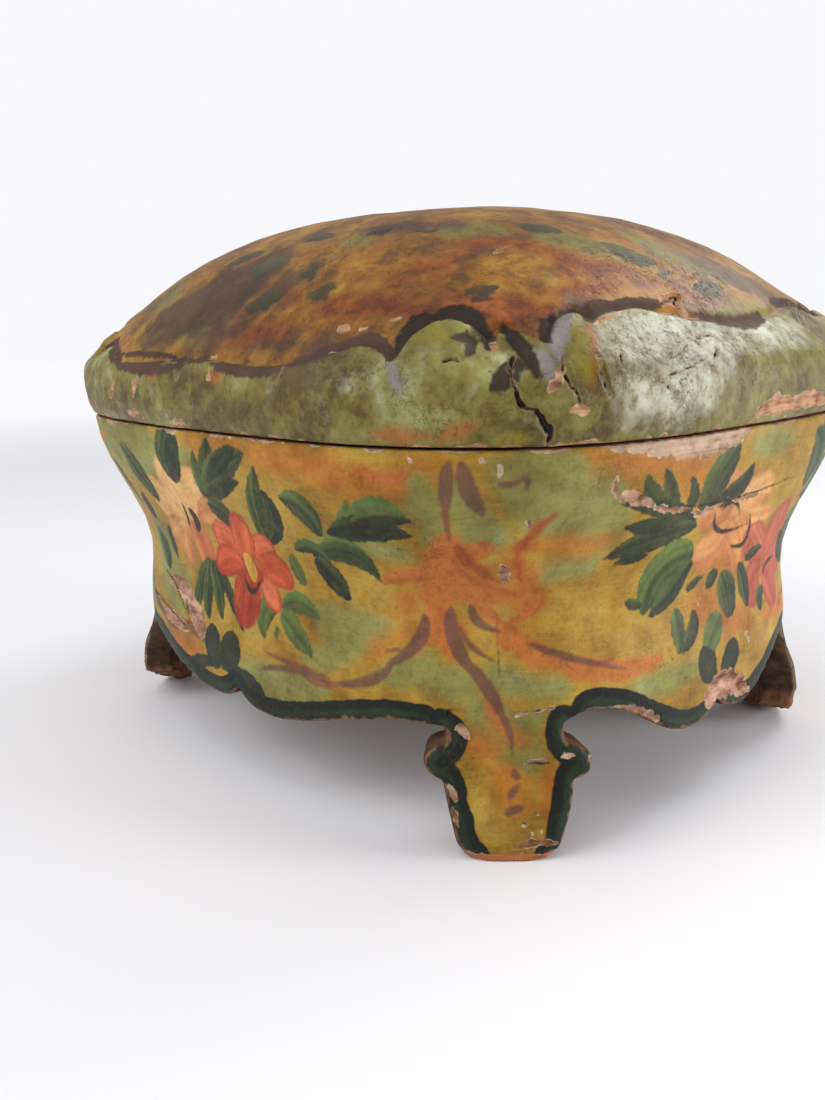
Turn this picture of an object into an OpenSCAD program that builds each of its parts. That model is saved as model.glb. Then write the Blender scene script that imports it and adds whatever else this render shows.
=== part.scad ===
// Painted wooden jewelry box: a waisted body of four mitred boards with a scalloped lower
// edge, four carved bracket feet, and a domed lid of four mitred rails and a carved top,
// hung on two butt hinges at the back.
// Millimetres, +Z up. The front is -Y and the hinges are at +Y.
// The origin is on the table, under the middle of the box.

/* [Body] */
// Length of the rim, left to right
rim_length = 250; // [220:1:290]
// Width of the rim, front to back
rim_width = 214; // [190:1:250]
// Height of the rim above the table
rim_height = 114.5; // [100:0.5:135]
// Squareness of the rim's plan (2 is an ellipse)
rim_squareness = 3.35; // [2.9:0.05:4]
// Squareness of the skirt's plan
skirt_squareness = 2.75; // [2.5:0.05:3.2]
// Height of the waist, where the sides are hollowed most
waist_height = 66; // [60:1:75]
// Distance from the rim in to the waist
waist_depth = 12.4; // [8:0.2:14]
// Height where the skirt stands upright again
skirt_height = 44; // [40:1:52]
// Distance from the rim in to the skirt
skirt_depth = 9.7; // [6:0.1:12]
// Thickness of the boards at the rim, before the outside is carved
board_thickness = 22; // [20:0.5:26]
// Squareness of the hollow inside
hollow_squareness = 3.6; // [3.2:0.05:4]

/* [Apron] */
// Height of the lobes' lower edge above the table
lobe_height = 26; // [20:0.5:30]
// Height of the cusp in the middle of each side
cusp_height = 31; // [28:0.5:34]
// Half the width of the cusp's notch
cusp_half_width = 9; // [5:0.5:12]
// Distance from the middle of a side to where its lobe starts to rise
lobe_half_width = 15; // [12:0.5:22]
// Height of the arches beside the feet, front and back
front_arch_height = 36.5; // [34:0.5:40]
// Height of the arches beside the feet, left and right
side_arch_height = 40; // [34:0.5:41]
// Width of an arch's rounded end beside its foot
arch_end_width = 8; // [5:0.5:10]

/* [Feet] */
// Height of the joint between the feet and the boards
foot_top_height = 42; // [41:0.5:46]
// Height of the neck, where a foot is narrowest
neck_height = 36; // [33:0.5:39]
// Width of a foot at its neck
neck_width = 32; // [28:0.5:38]
// Height of the middle of the scrolled ears
ear_height = 27.5; // [25:0.5:29]
// Width of a foot across its ears
ear_width = 46; // [42:0.5:52]
// Height of an ear, from its underside to its top
ear_tall = 9; // [7:0.5:11]
// Distance that the ears turn out at their tips
ear_turn_out = 4; // [1:0.5:5]
// Width of the shank just under the ears
shank_width = 35; // [32:0.5:39]
// Width of the shank at its foot, where it starts to round in
ankle_width = 29.5; // [26:0.5:32]
// Width of the foot's sole
sole_width = 18; // [15:0.5:22]
// Height over which the shank rounds in to its sole
toe_height = 8; // [5:0.5:10]
// Thickness of a foot from front to back
foot_thickness = 12; // [11:0.5:16]
// Distance that a foot swells out past the skirt
foot_flare = 6; // [2:0.5:8]
// Height where the foot swells out most
flare_height = 10; // [7:0.5:14]
// Distance that the sole turns back in below the swell
toe_in = 0.25; // [0:0.25:3]
// Rounding of a foot's outer edges
foot_edge_round = 3; // [1:0.5:5]

/* [Base] */
// Thickness of the base board
base_thickness = 7; // [5:0.5:10]
// Clearance round the base board
base_fit = 0.1; // [0.05:0.05:0.3]

/* [Lid] */
// Gap between the rim and the lid
seam_gap = 0.4; // [0.3:0.05:0.8]
// Height of the lid's rails
rail_height = 19; // [15:0.5:24]
// Distance that the rails swell out past the rim
rail_bulge = 2.2; // [0.5:0.1:3]
// Rise of the domed top above the rails
dome_rise = 47; // [38:0.5:60]
// Fullness of the dome's curve
dome_fullness = 3.17; // [2.4:0.05:3.6]
// Sharpness of the dome's crown
dome_crown = 1.07; // [1:0.01:1.3]
// Thickness of the top at its crown
top_thickness = 10; // [7:0.5:14]

/* [Scrolls] */
// Height that a carved scroll stands proud
scroll_rise = 2.6; // [0.5:0.1:4]
// Half the width of a scroll
scroll_half_width = 13; // [9:0.5:16]
// Half the height of a scroll
scroll_half_height = 11; // [8:0.5:13]
// Distance from a corner's mitre to the middle of each scroll
scroll_spread = 17; // [15:0.5:24]
// Height of the middle of a scroll above the rim
scroll_height = 22; // [18:0.5:26]
// Depth of the valley on the mitre, between two scrolls
valley_depth = 1.6; // [0:0.1:2.5]

/* [Hinges] */
// Distance from the middle of the box to each hinge
hinge_spacing = 40; // [30:1:50]
// Length of a hinge
hinge_length = 24; // [20:1:30]
// Width of a leaf, from the pin's axis
leaf_width = 12; // [10:0.5:15]
// Thickness of a leaf
leaf_thickness = 1.2; // [0.8:0.1:1.6]
// Radius of the knuckles
knuckle_radius = 2.2; // [2:0.1:2.6]
// Radius of the pin
pin_radius = 0.9; // [0.7:0.05:1.1]
// Radial clearance of the pin in the knuckles
pin_clearance = 0.05; // [0.03:0.01:0.09]
// Radius of the pin's peened heads
pin_head_radius = 1.6; // [1.3:0.1:1.9]
// Thickness of the pin's peened heads
pin_head_thickness = 0.5; // [0.3:0.1:0.8]
// Distance from the back of the rim in to the pin's axis
hinge_inset = 2.3; // [1.8:0.1:3]
// Clearance between the knuckles and what is beside them
knuckle_gap = 0.3; // [0.2:0.05:0.5]
// Clearance of a leaf in its recess
leaf_fit = 0.05; // [0.03:0.01:0.15]
// Angle to which the lid opens
open_angle = 105; // [95:1:110]

/* [Hinge screws] */
// Distance between a leaf's two screws
screw_spacing = 14; // [11:0.5:17]
// Distance from the pin's axis to the screws
screw_inset = 7.5; // [6.5:0.25:8.5]
// Radius of a screw's shank
screw_radius = 0.9; // [0.6:0.05:1.1]
// Radius of a screw's head
screw_head_radius = 2; // [1.7:0.1:2.4]
// Length of a screw
screw_length = 10; // [7:0.5:14]
// Clearance round a screw
screw_fit = 0.05; // [0.03:0.01:0.1]

/* [Hidden] */

$fn = 32;

// Numbers of steps round and up the carved shells
board_columns = 200;
board_rows = 10;
lid_columns = 128;
rail_rows = 6;
dome_rings = 14;
hollow_rings = 5;
foot_columns = 12;

// Half sizes of the rim and of the hollow inside
rim_half_x = rim_length / 2;
rim_half_y = rim_width / 2;
hollow_half_x = rim_half_x - board_thickness;
hollow_half_y = rim_half_y - board_thickness;

// Heights of the lid's own levels
lid_bottom = rim_height + seam_gap;
shoulder_height = lid_bottom + rail_height;
hollow_rise = dome_rise - top_thickness;

// A length that reaches past the whole box, for cutting solids
reach = rim_length + rim_width;

function clamp(t) = min(1, max(0, t));
function ease(t) = (1 - cos(180 * clamp(t))) / 2;

// Radius of a squared ellipse in the direction of an angle
function plan_radius(half_x, half_y, squareness, angle) =
    pow(pow(abs(cos(angle)) / half_x, squareness)
        + pow(abs(sin(angle)) / half_y, squareness), -1 / squareness);

// Point of a squared ellipse where it runs at 45 degrees, in the first quarter
function corner_y(half_x, half_y, squareness) =
    half_y * pow(1 + pow(half_x / half_y, squareness / (squareness - 1)), -1 / squareness);
function corner_x(half_x, half_y, squareness) =
    corner_y(half_y, half_x, squareness);

// The side's profile: how far it lies in from the rim at a height
function side_inset(z) =
    z > waist_height
        ? waist_depth * ease((rim_height - z) / (rim_height - waist_height))
        : skirt_depth + (waist_depth - skirt_depth)
            * ease((z - skirt_height) / (waist_height - skirt_height));

function side_squareness(z) =
    skirt_squareness + (rim_squareness - skirt_squareness)
        * clamp((z - foot_top_height) / (rim_height - foot_top_height));

function body_radius(angle, z) =
    plan_radius(rim_half_x - side_inset(z), rim_half_y - side_inset(z),
        side_squareness(z), angle);

function hollow_radius(angle) =
    plan_radius(hollow_half_x, hollow_half_y, hollow_squareness, angle);

// Mitre lines run at 45 degrees from the rim's corners to the long middle line
rim_corner_x = corner_x(rim_half_x, rim_half_y, rim_squareness);
rim_corner_y = corner_y(rim_half_x, rim_half_y, rim_squareness);
mitre_start = rim_corner_x - rim_corner_y;

// Direction and half angle of a foot, seen from the middle of the box
skirt_half_x = rim_half_x - skirt_depth;
skirt_half_y = rim_half_y - skirt_depth;
foot_x = corner_x(skirt_half_x, skirt_half_y, skirt_squareness);
foot_y = corner_y(skirt_half_x, skirt_half_y, skirt_squareness);
foot_angle = atan2(foot_y, foot_x);
foot_reach = norm([foot_x, foot_y]);
function half_angle(width) = width / 2 / foot_reach * 180 / PI;
neck_half_angle = half_angle(neck_width);

// Folds any direction into the first quarter
function folded(angle) = atan2(abs(sin(angle)), abs(cos(angle)));

// The scalloped lower edge: a cusp, a lobe and an arch, by the distance from the middle
function scallop(from_middle, half_span, arch) =
    let (arch_start = half_span - arch_end_width)
    from_middle < cusp_half_width
        ? cusp_height - (cusp_height - lobe_height)
            * sqrt(from_middle / cusp_half_width)
    : from_middle < arch_start
        ? lobe_height + (arch - lobe_height)
            * ease((from_middle - lobe_half_width) / (arch_start - lobe_half_width))
    : arch - (arch - neck_height)
        * (1 - sqrt(1 - pow(clamp((from_middle - arch_start) / arch_end_width), 2)));

function edge_height(angle) =
    let (a = folded(angle), r = body_radius(a, skirt_height))
    a < foot_angle - neck_half_angle
        ? scallop(r * sin(a),
            body_radius(foot_angle - neck_half_angle, skirt_height)
                * sin(foot_angle - neck_half_angle), side_arch_height)
    : a > foot_angle + neck_half_angle
        ? scallop(r * cos(a),
            body_radius(foot_angle + neck_half_angle, skirt_height)
                * cos(foot_angle + neck_half_angle), front_arch_height)
    : neck_height;

// A closed ring swept round the box: every column of points is one loop of the section
module ring(columns) {
    count = len(columns);
    loop = len(columns[0]);
    polyhedron(
        points = [for (column = columns) for (p = column) p],
        faces = [for (i = [0 : count - 1]) for (j = [0 : loop - 1])
            let (i2 = (i + 1) % count, j2 = (j + 1) % loop)
            each [[i * loop + j, i * loop + j2, i2 * loop + j2],
                [i * loop + j, i2 * loop + j2, i2 * loop + j]]],
        convexity = 6);
}

// A block built of level outlines, from the lowest to the highest
module stack(outlines) {
    levels = len(outlines);
    loop = len(outlines[0]);
    polyhedron(
        points = [for (outline = outlines) for (p = outline) p],
        faces = concat(
            [[for (j = [0 : loop - 1]) j]],
            [for (i = [0 : levels - 2]) for (j = [0 : loop - 1])
                let (j2 = (j + 1) % loop)
                each [[i * loop + j, (i + 1) * loop + j, (i + 1) * loop + j2],
                    [i * loop + j, (i + 1) * loop + j2, i * loop + j2]]],
            [[for (j = [loop - 1 : -1 : 0]) (levels - 1) * loop + j]]),
        convexity = 6);
}

function polar(radius, angle, z) = [radius * cos(angle), radius * sin(angle), z];

// The four carved boards before they are mitred
module body_ring() {
    ring([for (i = [0 : board_columns - 1])
        let (angle = 360 * i / board_columns, edge = edge_height(angle))
        concat(
            [for (k = [0 : board_rows])
                let (z = edge + (rim_height - edge) * k / board_rows)
                polar(body_radius(angle, z), angle, z)],
            [polar(hollow_radius(angle), angle, rim_height),
                polar(hollow_radius(angle), angle, edge)])]);
}

// Carved relief of the lid, by the distance from the mitre and the height above the rim
function scroll_relief(along, up) =
    let (
        across = (abs(along) - scroll_spread) / scroll_half_width,
        above = max(0, up - scroll_height) / scroll_half_height,
        fade = ease(up / scroll_height),
        boss = clamp(1 - pow(across * across + above * above, 2)),
        valley = clamp(1 - pow(along / (scroll_spread - scroll_half_width / 2), 2)))
    fade * (scroll_rise * boss - valley_depth * valley * ease(2 - above * 2));

rim_corner_angle = atan2(rim_corner_y, rim_corner_x);
rim_corner_reach = norm([rim_corner_x, rim_corner_y]);
function along_corner(angle) =
    (folded(angle) - rim_corner_angle) * PI / 180 * rim_corner_reach;

// Directions of the lid's columns, closer together near the corners
quarter_columns = lid_columns / 4;
column_pull = 7;
column_shift = 21.6;
function quarter_angle(k) =
    let (t = k / quarter_columns)
    90 * t + column_pull * (sin(360 * t + column_shift) - sin(column_shift));
function lid_angle(i) =
    let (quarter = floor(i / quarter_columns), k = i % quarter_columns)
    quarter % 2 == 0
        ? 90 * quarter + quarter_angle(k)
        : 90 * (quarter + 1) - quarter_angle(quarter_columns - k);

function rim_radius(angle) = plan_radius(rim_half_x, rim_half_y, rim_squareness, angle);

// The four rails of the lid before they are mitred
module rail_ring() {
    ring([for (i = [0 : lid_columns - 1])
        let (angle = lid_angle(i))
        concat(
            [for (k = [0 : rail_rows])
                let (
                    up = rail_height * k / rail_rows,
                    bulge = rail_bulge * sqrt(sin(180 * k / rail_rows)),
                    relief = scroll_relief(along_corner(angle), up))
                polar(rim_radius(angle) + bulge + relief, angle, lid_bottom + up)],
            [polar(hollow_radius(angle), angle, shoulder_height),
                polar(hollow_radius(angle), angle, lid_bottom)])]);
}

// A dome over a squared ellipse, by the share of its plan from the middle
function dome_height(rise, share) =
    rise * pow(1 - pow(share, dome_fullness), dome_crown);
function dome_point(half_x, half_y, squareness, rise, share, angle) =
    let (ring_squareness = 2 + (squareness - 2) * share)
    polar(share * plan_radius(half_x, half_y, ring_squareness, angle), angle,
        shoulder_height + dome_height(rise, share));

// The carved scrolls push the dome out along its slope
relief_slope = 35;
function carved_point(point, angle) =
    let (
        up = point[2] - lid_bottom,
        relief = scroll_relief(along_corner(angle), up),
        tilt = relief_slope * clamp((up - rail_height) / 3))
    [point[0] + relief * cos(tilt) * cos(angle),
        point[1] + relief * cos(tilt) * sin(angle),
        point[2] + relief * sin(tilt)];

// Joins rings of points into the faces of a skin
function skin_faces(first, rings, count) =
    [for (i = [0 : rings - 2]) for (j = [0 : count - 1])
        let (j2 = (j + 1) % count, low = first + i * count, high = low + count)
        each [[low + j, high + j, high + j2], [low + j, high + j2, low + j2]]];

module lid_dome() {
    outer_shares = [for (k = [0 : dome_rings - 1]) pow(1 - k / dome_rings, 0.7)];
    inner_shares = [for (k = [1 : hollow_rings]) k / hollow_rings];
    outer = [for (s = outer_shares) for (i = [0 : lid_columns - 1])
        let (angle = lid_angle(i))
        carved_point(dome_point(rim_half_x, rim_half_y, rim_squareness,
            dome_rise, s, angle), angle)];
    inner = [for (s = inner_shares) for (i = [0 : lid_columns - 1])
        let (angle = lid_angle(i))
        dome_point(hollow_half_x, hollow_half_y, hollow_squareness,
            hollow_rise, s, angle)];
    inner_first = len(outer);
    inner_last = inner_first + (hollow_rings - 1) * lid_columns;
    crown = inner_first + len(inner);
    last_outer = (dome_rings - 1) * lid_columns;
    polyhedron(
        points = concat(outer, inner,
            [[0, 0, shoulder_height + dome_rise], [0, 0, shoulder_height + hollow_rise]]),
        faces = concat(
            skin_faces(0, dome_rings, lid_columns),
            skin_faces(inner_first, hollow_rings, lid_columns),
            [for (j = [0 : lid_columns - 1])
                let (j2 = (j + 1) % lid_columns)
                each [[last_outer + j, crown, last_outer + j2],
                    [inner_first + j, inner_first + j2, crown + 1],
                    [inner_last + j, j, j2],
                    [inner_last + j, j2, inner_last + j2]]]),
        convexity = 6);
}

// Wedges that part the plan along the mitres; side 0 is right, then back, left, front
module mitre_wedge(side) {
    m = mitre_start;
    outline = side == 0 ? [[m, 0], [m + reach, -reach], [m + reach, reach]]
        : side == 1 ? [[m, 0], [m + reach, reach], [-m - reach, reach], [-m, 0]]
        : side == 2 ? [[-m, 0], [-m - reach, reach], [-m - reach, -reach]]
        : [[-m, 0], [-m - reach, -reach], [m + reach, -reach], [m, 0]];
    translate([0, 0, -1])
        linear_extrude(height = reach)
            polygon(outline);
}

// Sectors at the corners that the feet's upper ends fill
module foot_sector(angle) {
    translate([0, 0, -1])
        linear_extrude(height = foot_top_height + 1)
            polygon([[0, 0],
                [reach * cos(angle - neck_half_angle), reach * sin(angle - neck_half_angle)],
                [reach * cos(angle + neck_half_angle), reach * sin(angle + neck_half_angle)]]);
}

// Directions of the four feet
foot_directions = [foot_angle, 180 - foot_angle, 180 + foot_angle, 360 - foot_angle];

module body_board(side) {
    color("darkkhaki")
        difference() {
            intersection() {
                body_ring();
                mitre_wedge(side);
            }
            for (angle = foot_directions)
                foot_sector(angle);
        }
}

module front_board() {
    body_board(3);
}

module left_board() {
    body_board(2);
}

module right_board() {
    body_board(0);
}

// The back board is cut for the hinges and chamfered so that the lid can lean back
module back_board() {
    color("darkkhaki")
        difference() {
            body_board(1);
            back_chamfer(-1);
            hinge_recesses(-1);
        }
}

module base_board() {
    color("saddlebrown")
        translate([0, 0, foot_top_height])
            linear_extrude(height = base_thickness)
                polygon([for (i = [0 : lid_columns - 1])
                    let (angle = 360 * i / lid_columns,
                        r = hollow_radius(angle) * (1 - base_fit / hollow_half_y))
                    [r * cos(angle), r * sin(angle)]]);
}

// Width of a foot at a height: sole, shank, ears, neck
function ear_swell(z) =
    let (t = (z - ear_height) / (ear_tall / 2))
    abs(t) < 1 ? sqrt(1 - t * t) : 0;
function foot_width(z) =
    let (
        ear_bottom = ear_height - ear_tall / 2,
        body = z < toe_height
            ? sole_width + (ankle_width - sole_width)
                * sqrt(1 - pow(1 - z / toe_height, 2))
            : z < ear_height
            ? ankle_width + (shank_width - ankle_width)
                * clamp((z - toe_height) / (ear_bottom - toe_height))
            : shank_width + (neck_width - shank_width)
                * ease((z - ear_height) / (neck_height - ear_height)))
    body + (ear_width - body) * ear_swell(z);

// How far a foot stands out past the skirt at a height
function foot_swell(z) =
    z > flare_height
        ? foot_flare * ease((neck_height - z) / (neck_height - flare_height))
        : foot_flare - toe_in * ease((flare_height - z) / flare_height);

// How far a foot's side edges turn out, most of all at its ears
function turn_out(share, z) =
    ear_turn_out * share * share * ease(z / ear_height)
        * clamp((foot_top_height - z) / (foot_top_height - ear_height));

// Depth of the rounding near a foot's side edges, by the share of its half width
function edge_rounding(share, half_width) =
    let (t = clamp((abs(share) * half_width - half_width + foot_edge_round)
        / foot_edge_round))
    foot_edge_round * (1 - sqrt(1 - t * t));

function foot_outline(z, direction) =
    let (
        half = foot_width(z) / 2,
        spread = half_angle(foot_width(z)),
        rounding = clamp((foot_top_height - z) / foot_edge_round),
        shares = [for (k = [0 : foot_columns]) sin(90 * (2 * k / foot_columns - 1))])
    concat(
        [for (s = shares)
            let (angle = direction + s * spread)
            polar(body_radius(angle, z) + foot_swell(z) + turn_out(s, z)
                - rounding * edge_rounding(s, half), angle, z)],
        [for (k = [4 : -1 : 0])
            let (angle = direction + (k / 2 - 1) * spread)
            polar(body_radius(angle, z) + foot_swell(z) + turn_out(k / 2 - 1, z)
                - foot_thickness, angle, z)]);

// Heights of a foot's outlines, closer together round the ears and the toe
foot_heights = concat(
    [for (k = [0 : 3]) toe_height * (1 - cos(30 * k))],
    [(toe_height + ear_height - ear_tall / 2) / 2],
    [for (k = [0 : 8]) ear_height - ear_tall / 2 * cos(180 * k / 8)],
    [(ear_height + ear_tall / 2 + neck_height) / 2, neck_height, foot_top_height]);

module foot(direction) {
    color("peru")
        stack([for (z = foot_heights) foot_outline(z, direction)]);
}

module foot_front_left() {
    foot(foot_directions[2]);
}

module foot_front_right() {
    foot(foot_directions[3]);
}

module foot_back_left() {
    foot(foot_directions[1]);
}

module foot_back_right() {
    foot(foot_directions[0]);
}

module lid_rail(side) {
    color("olivedrab")
        intersection() {
            rail_ring();
            mitre_wedge(side);
        }
}

module lid_front_rail() {
    lid_rail(3);
}

module lid_left_rail() {
    lid_rail(2);
}

module lid_right_rail() {
    lid_rail(0);
}

module lid_back_rail() {
    color("olivedrab")
        difference() {
            lid_rail(1);
            back_chamfer(1);
            hinge_recesses(1);
        }
}

module lid_top() {
    color("darkgoldenrod")
        lid_dome();
}

// The hinges' common axis, in the seam
axis_y = rim_half_y - hinge_inset;
axis_z = rim_height + seam_gap / 2;
knuckle_length = (hinge_length - 2 * knuckle_gap) / 3;

// Chamfer along the back edge; up is 1 for the lid and -1 for the box
module back_chamfer(up) {
    run = rail_bulge + hinge_inset + scroll_rise + 1;
    // Half of the opening angle, and a little more so that the faces stay apart
    slope = open_angle / 2 + 1;
    translate([-reach / 2, axis_y, axis_z])
        rotate([90, 0, 90])
            linear_extrude(height = reach)
                polygon([[0, 0], [run, 0], [run, up * run * tan(slope)]]);
}

// A hinge's knuckle or pin: a round bar along X, round the hinges' axis
module axis_bar(radius, start, length) {
    translate([start, axis_y, axis_z])
        rotate([0, 90, 0])
            cylinder(r = radius, h = length);
}

// Recesses for both hinges; up is 1 in the lid and -1 in the box
module hinge_recesses(up) {
    half_pocket = hinge_length / 2 + pin_head_thickness + knuckle_gap;
    pocket_radius = knuckle_radius + knuckle_gap;
    half_leaf = hinge_length / 2 + leaf_fit;
    seat_z = up > 0 ? lid_bottom : rim_height;
    depth = leaf_thickness + leaf_fit;
    for (x = [-hinge_spacing, hinge_spacing]) {
        translate([x - half_pocket, axis_y - pocket_radius, axis_z - pocket_radius])
            cube([2 * half_pocket, pocket_radius + reach, 2 * pocket_radius]);
        translate([x - half_leaf, axis_y - leaf_width - leaf_fit,
            up > 0 ? seat_z - 1 : seat_z - depth])
            cube([2 * half_leaf, leaf_width + leaf_fit, depth + 1]);
        for (dx = [-screw_spacing / 2, screw_spacing / 2])
            translate([x + dx, axis_y - screw_inset, seat_z])
                rotate([up > 0 ? 0 : 180, 0, 0])
                    cylinder(r = screw_radius + screw_fit, h = screw_length + screw_fit);
    }
}

// One leaf; up is 1 for the lid's leaf, which has the middle knuckle
module hinge_leaf(x, up) {
    seat_z = up > 0 ? lid_bottom : rim_height;
    plate_z = up > 0 ? seat_z : seat_z - leaf_thickness;
    start = x - hinge_length / 2;
    step = knuckle_length + knuckle_gap;
    own = up > 0 ? [1] : [0, 2];
    others = up > 0 ? [0, 2] : [1];
    clear = knuckle_radius + knuckle_gap;
    color("goldenrod")
        difference() {
            union() {
                translate([start, axis_y - leaf_width, plate_z])
                    cube([hinge_length, leaf_width, leaf_thickness]);
                for (k = own)
                    axis_bar(knuckle_radius, start + k * step, knuckle_length);
            }
            for (k = others)
                translate([start + k * step - knuckle_gap, axis_y - clear, axis_z - clear])
                    cube([knuckle_length + 2 * knuckle_gap, 2 * clear, 2 * clear]);
            axis_bar(pin_radius + pin_clearance, start - 1, hinge_length + 2);
            for (dx = [-screw_spacing / 2, screw_spacing / 2])
                translate([x + dx, axis_y - screw_inset, seat_z])
                    rotate([up > 0 ? 0 : 180, 0, 0])
                        screw_shape(screw_fit);
        }
}

// A countersunk screw that points up from its head's face; grow widens it for a hole
module screw_shape(grow) {
    cylinder(r1 = screw_head_radius + grow, r2 = screw_radius + grow, h = leaf_thickness);
    cylinder(r = screw_radius + grow, h = screw_length);
}

module hinge_pin(x) {
    color("darkgoldenrod") {
        axis_bar(pin_radius, x - hinge_length / 2, hinge_length);
        for (start = [x - hinge_length / 2 - pin_head_thickness, x + hinge_length / 2])
            axis_bar(pin_head_radius, start, pin_head_thickness);
    }
}

// The four screws of both leaves in the box or in the lid
module hinge_screws(up) {
    seat_z = up > 0 ? lid_bottom : rim_height;
    color("dimgray")
        for (x = [-hinge_spacing, hinge_spacing])
            for (dx = [-screw_spacing / 2, screw_spacing / 2])
                translate([x + dx, axis_y - screw_inset, seat_z])
                    rotate([up > 0 ? 0 : 180, 0, 0])
                        screw_shape(0);
}

module box_leaf_left() {
    hinge_leaf(-hinge_spacing, -1);
}

module box_leaf_right() {
    hinge_leaf(hinge_spacing, -1);
}

module lid_leaf_left() {
    hinge_leaf(-hinge_spacing, 1);
}

module lid_leaf_right() {
    hinge_leaf(hinge_spacing, 1);
}

module hinge_pin_left() {
    hinge_pin(-hinge_spacing);
}

module hinge_pin_right() {
    hinge_pin(hinge_spacing);
}

module box_hinge_screws() {
    hinge_screws(-1);
}

module lid_hinge_screws() {
    hinge_screws(1);
}

front_board();
back_board();
left_board();
right_board();
base_board();
foot_front_left();
foot_front_right();
foot_back_left();
foot_back_right();
lid_front_rail();
lid_back_rail();
lid_left_rail();
lid_right_rail();
lid_top();
box_leaf_left();
box_leaf_right();
lid_leaf_left();
lid_leaf_right();
hinge_pin_left();
hinge_pin_right();
box_hinge_screws();
lid_hinge_screws();
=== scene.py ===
# An old painted wooden jewelry box: a waisted body with a scalloped lower edge on four carved
# feet, under a domed lid with carved scrolls. The sections follow the box as it is put together.
import math
import bpy
import numpy as np
from mathutils import Matrix, Vector


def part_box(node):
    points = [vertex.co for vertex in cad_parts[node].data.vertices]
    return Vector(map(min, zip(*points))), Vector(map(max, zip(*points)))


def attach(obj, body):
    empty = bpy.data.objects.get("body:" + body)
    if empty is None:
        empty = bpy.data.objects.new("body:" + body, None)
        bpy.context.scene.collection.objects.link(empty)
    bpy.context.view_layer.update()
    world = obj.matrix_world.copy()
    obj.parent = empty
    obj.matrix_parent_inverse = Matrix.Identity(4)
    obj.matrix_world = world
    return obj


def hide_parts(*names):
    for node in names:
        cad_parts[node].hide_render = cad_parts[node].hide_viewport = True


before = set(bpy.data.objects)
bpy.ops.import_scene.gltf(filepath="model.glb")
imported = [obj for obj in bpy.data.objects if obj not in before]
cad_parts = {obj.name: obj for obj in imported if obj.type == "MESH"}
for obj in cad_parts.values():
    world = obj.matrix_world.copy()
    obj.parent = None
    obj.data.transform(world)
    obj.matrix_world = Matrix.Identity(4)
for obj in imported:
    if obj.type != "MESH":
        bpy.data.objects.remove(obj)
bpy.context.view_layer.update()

# The photograph's view
# A camera held about 0.4 m away, a little above the rim, that looks down on the corner between
# the front and the right side. Its focal length is in pixels of the 825 x 1100 picture.
photo_height = 1100
focal_pixels = 1000
sensor_mm = 36
camera_place = (0.2649, -0.2594, 0.1450)
camera_yaw = math.radians(47.814)
camera_tilt = math.radians(90 - 12.913)
camera_roll = math.radians(-1.415)

bpy.ops.object.camera_add(location=camera_place)
camera = bpy.context.object
camera.name = "view_of_the_corner"
camera.rotation_euler = (
    Matrix.Rotation(camera_yaw, 3, "Z")
    @ Matrix.Rotation(camera_tilt, 3, "X")
    @ Matrix.Rotation(camera_roll, 3, "Z")
).to_euler()
camera.data.sensor_width = sensor_mm
camera.data.lens = sensor_mm * focal_pixels / photo_height
camera.data.clip_start = 0.01
bpy.context.scene.camera = camera

# The table, the pale background and the lights
# A matt white table that fades into a white background, two windows to the right and behind, and
# wide soft light from the room in front and the ceiling above.
def place(tree, kind, inputs=None, **settings):
    """Adds one shader node; an input is a value, or another node's output to join to."""
    new = tree.nodes.new(kind)
    for key, value in settings.items():
        setattr(new, key, value)
    for key, value in (inputs or {}).items():
        socket = new.inputs[key]
        if isinstance(value, bpy.types.NodeSocket):
            tree.links.new(value, socket)
        else:
            socket.default_value = value
    return new


def sums(tree, operation, *values, clamp=False):
    """One Math node, whose inputs are numbers or outputs; returns its output."""
    inputs = dict(enumerate(values))
    return place(tree, "ShaderNodeMath", inputs, operation=operation, use_clamp=clamp).outputs[0]


def rising(tree, value, start, gain, clamp=True):
    """0 up to the start, then rising by the gain for each unit."""
    return sums(tree, "MULTIPLY", sums(tree, "SUBTRACT", value, start), gain, clamp=clamp)


def blended(tree, share, below, above, kind="MIX"):
    """Lays one colour over another by a share from 0 to 1; returns the colour."""
    mixer = place(
        tree, "ShaderNodeMix", {0: share, 6: below, 7: above}, data_type="RGBA", blend_type=kind
    )
    return mixer.outputs[2]


def tint(red, green, blue):
    """A paint colour, from the usual 0 to 255 steps to the renderer's linear values."""
    steps = [value / 255 for value in (red, green, blue)]
    linear = [v / 12.92 if v <= 0.04045 else ((v + 0.055) / 1.055) ** 2.4 for v in steps]
    return (*linear, 1)


def fresh_material(name):
    """A node material with only its Principled BSDF and its output; returns the three."""
    material = bpy.data.materials.new(name)
    material.use_nodes = True
    tree = material.node_tree
    return material, tree, tree.nodes["Principled BSDF"]


white = (1, 1, 1, 1)
table_colour = tint(240, 240, 243)
table_size = 8
fade_start = 0.45
fade_end = 1.6

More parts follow.
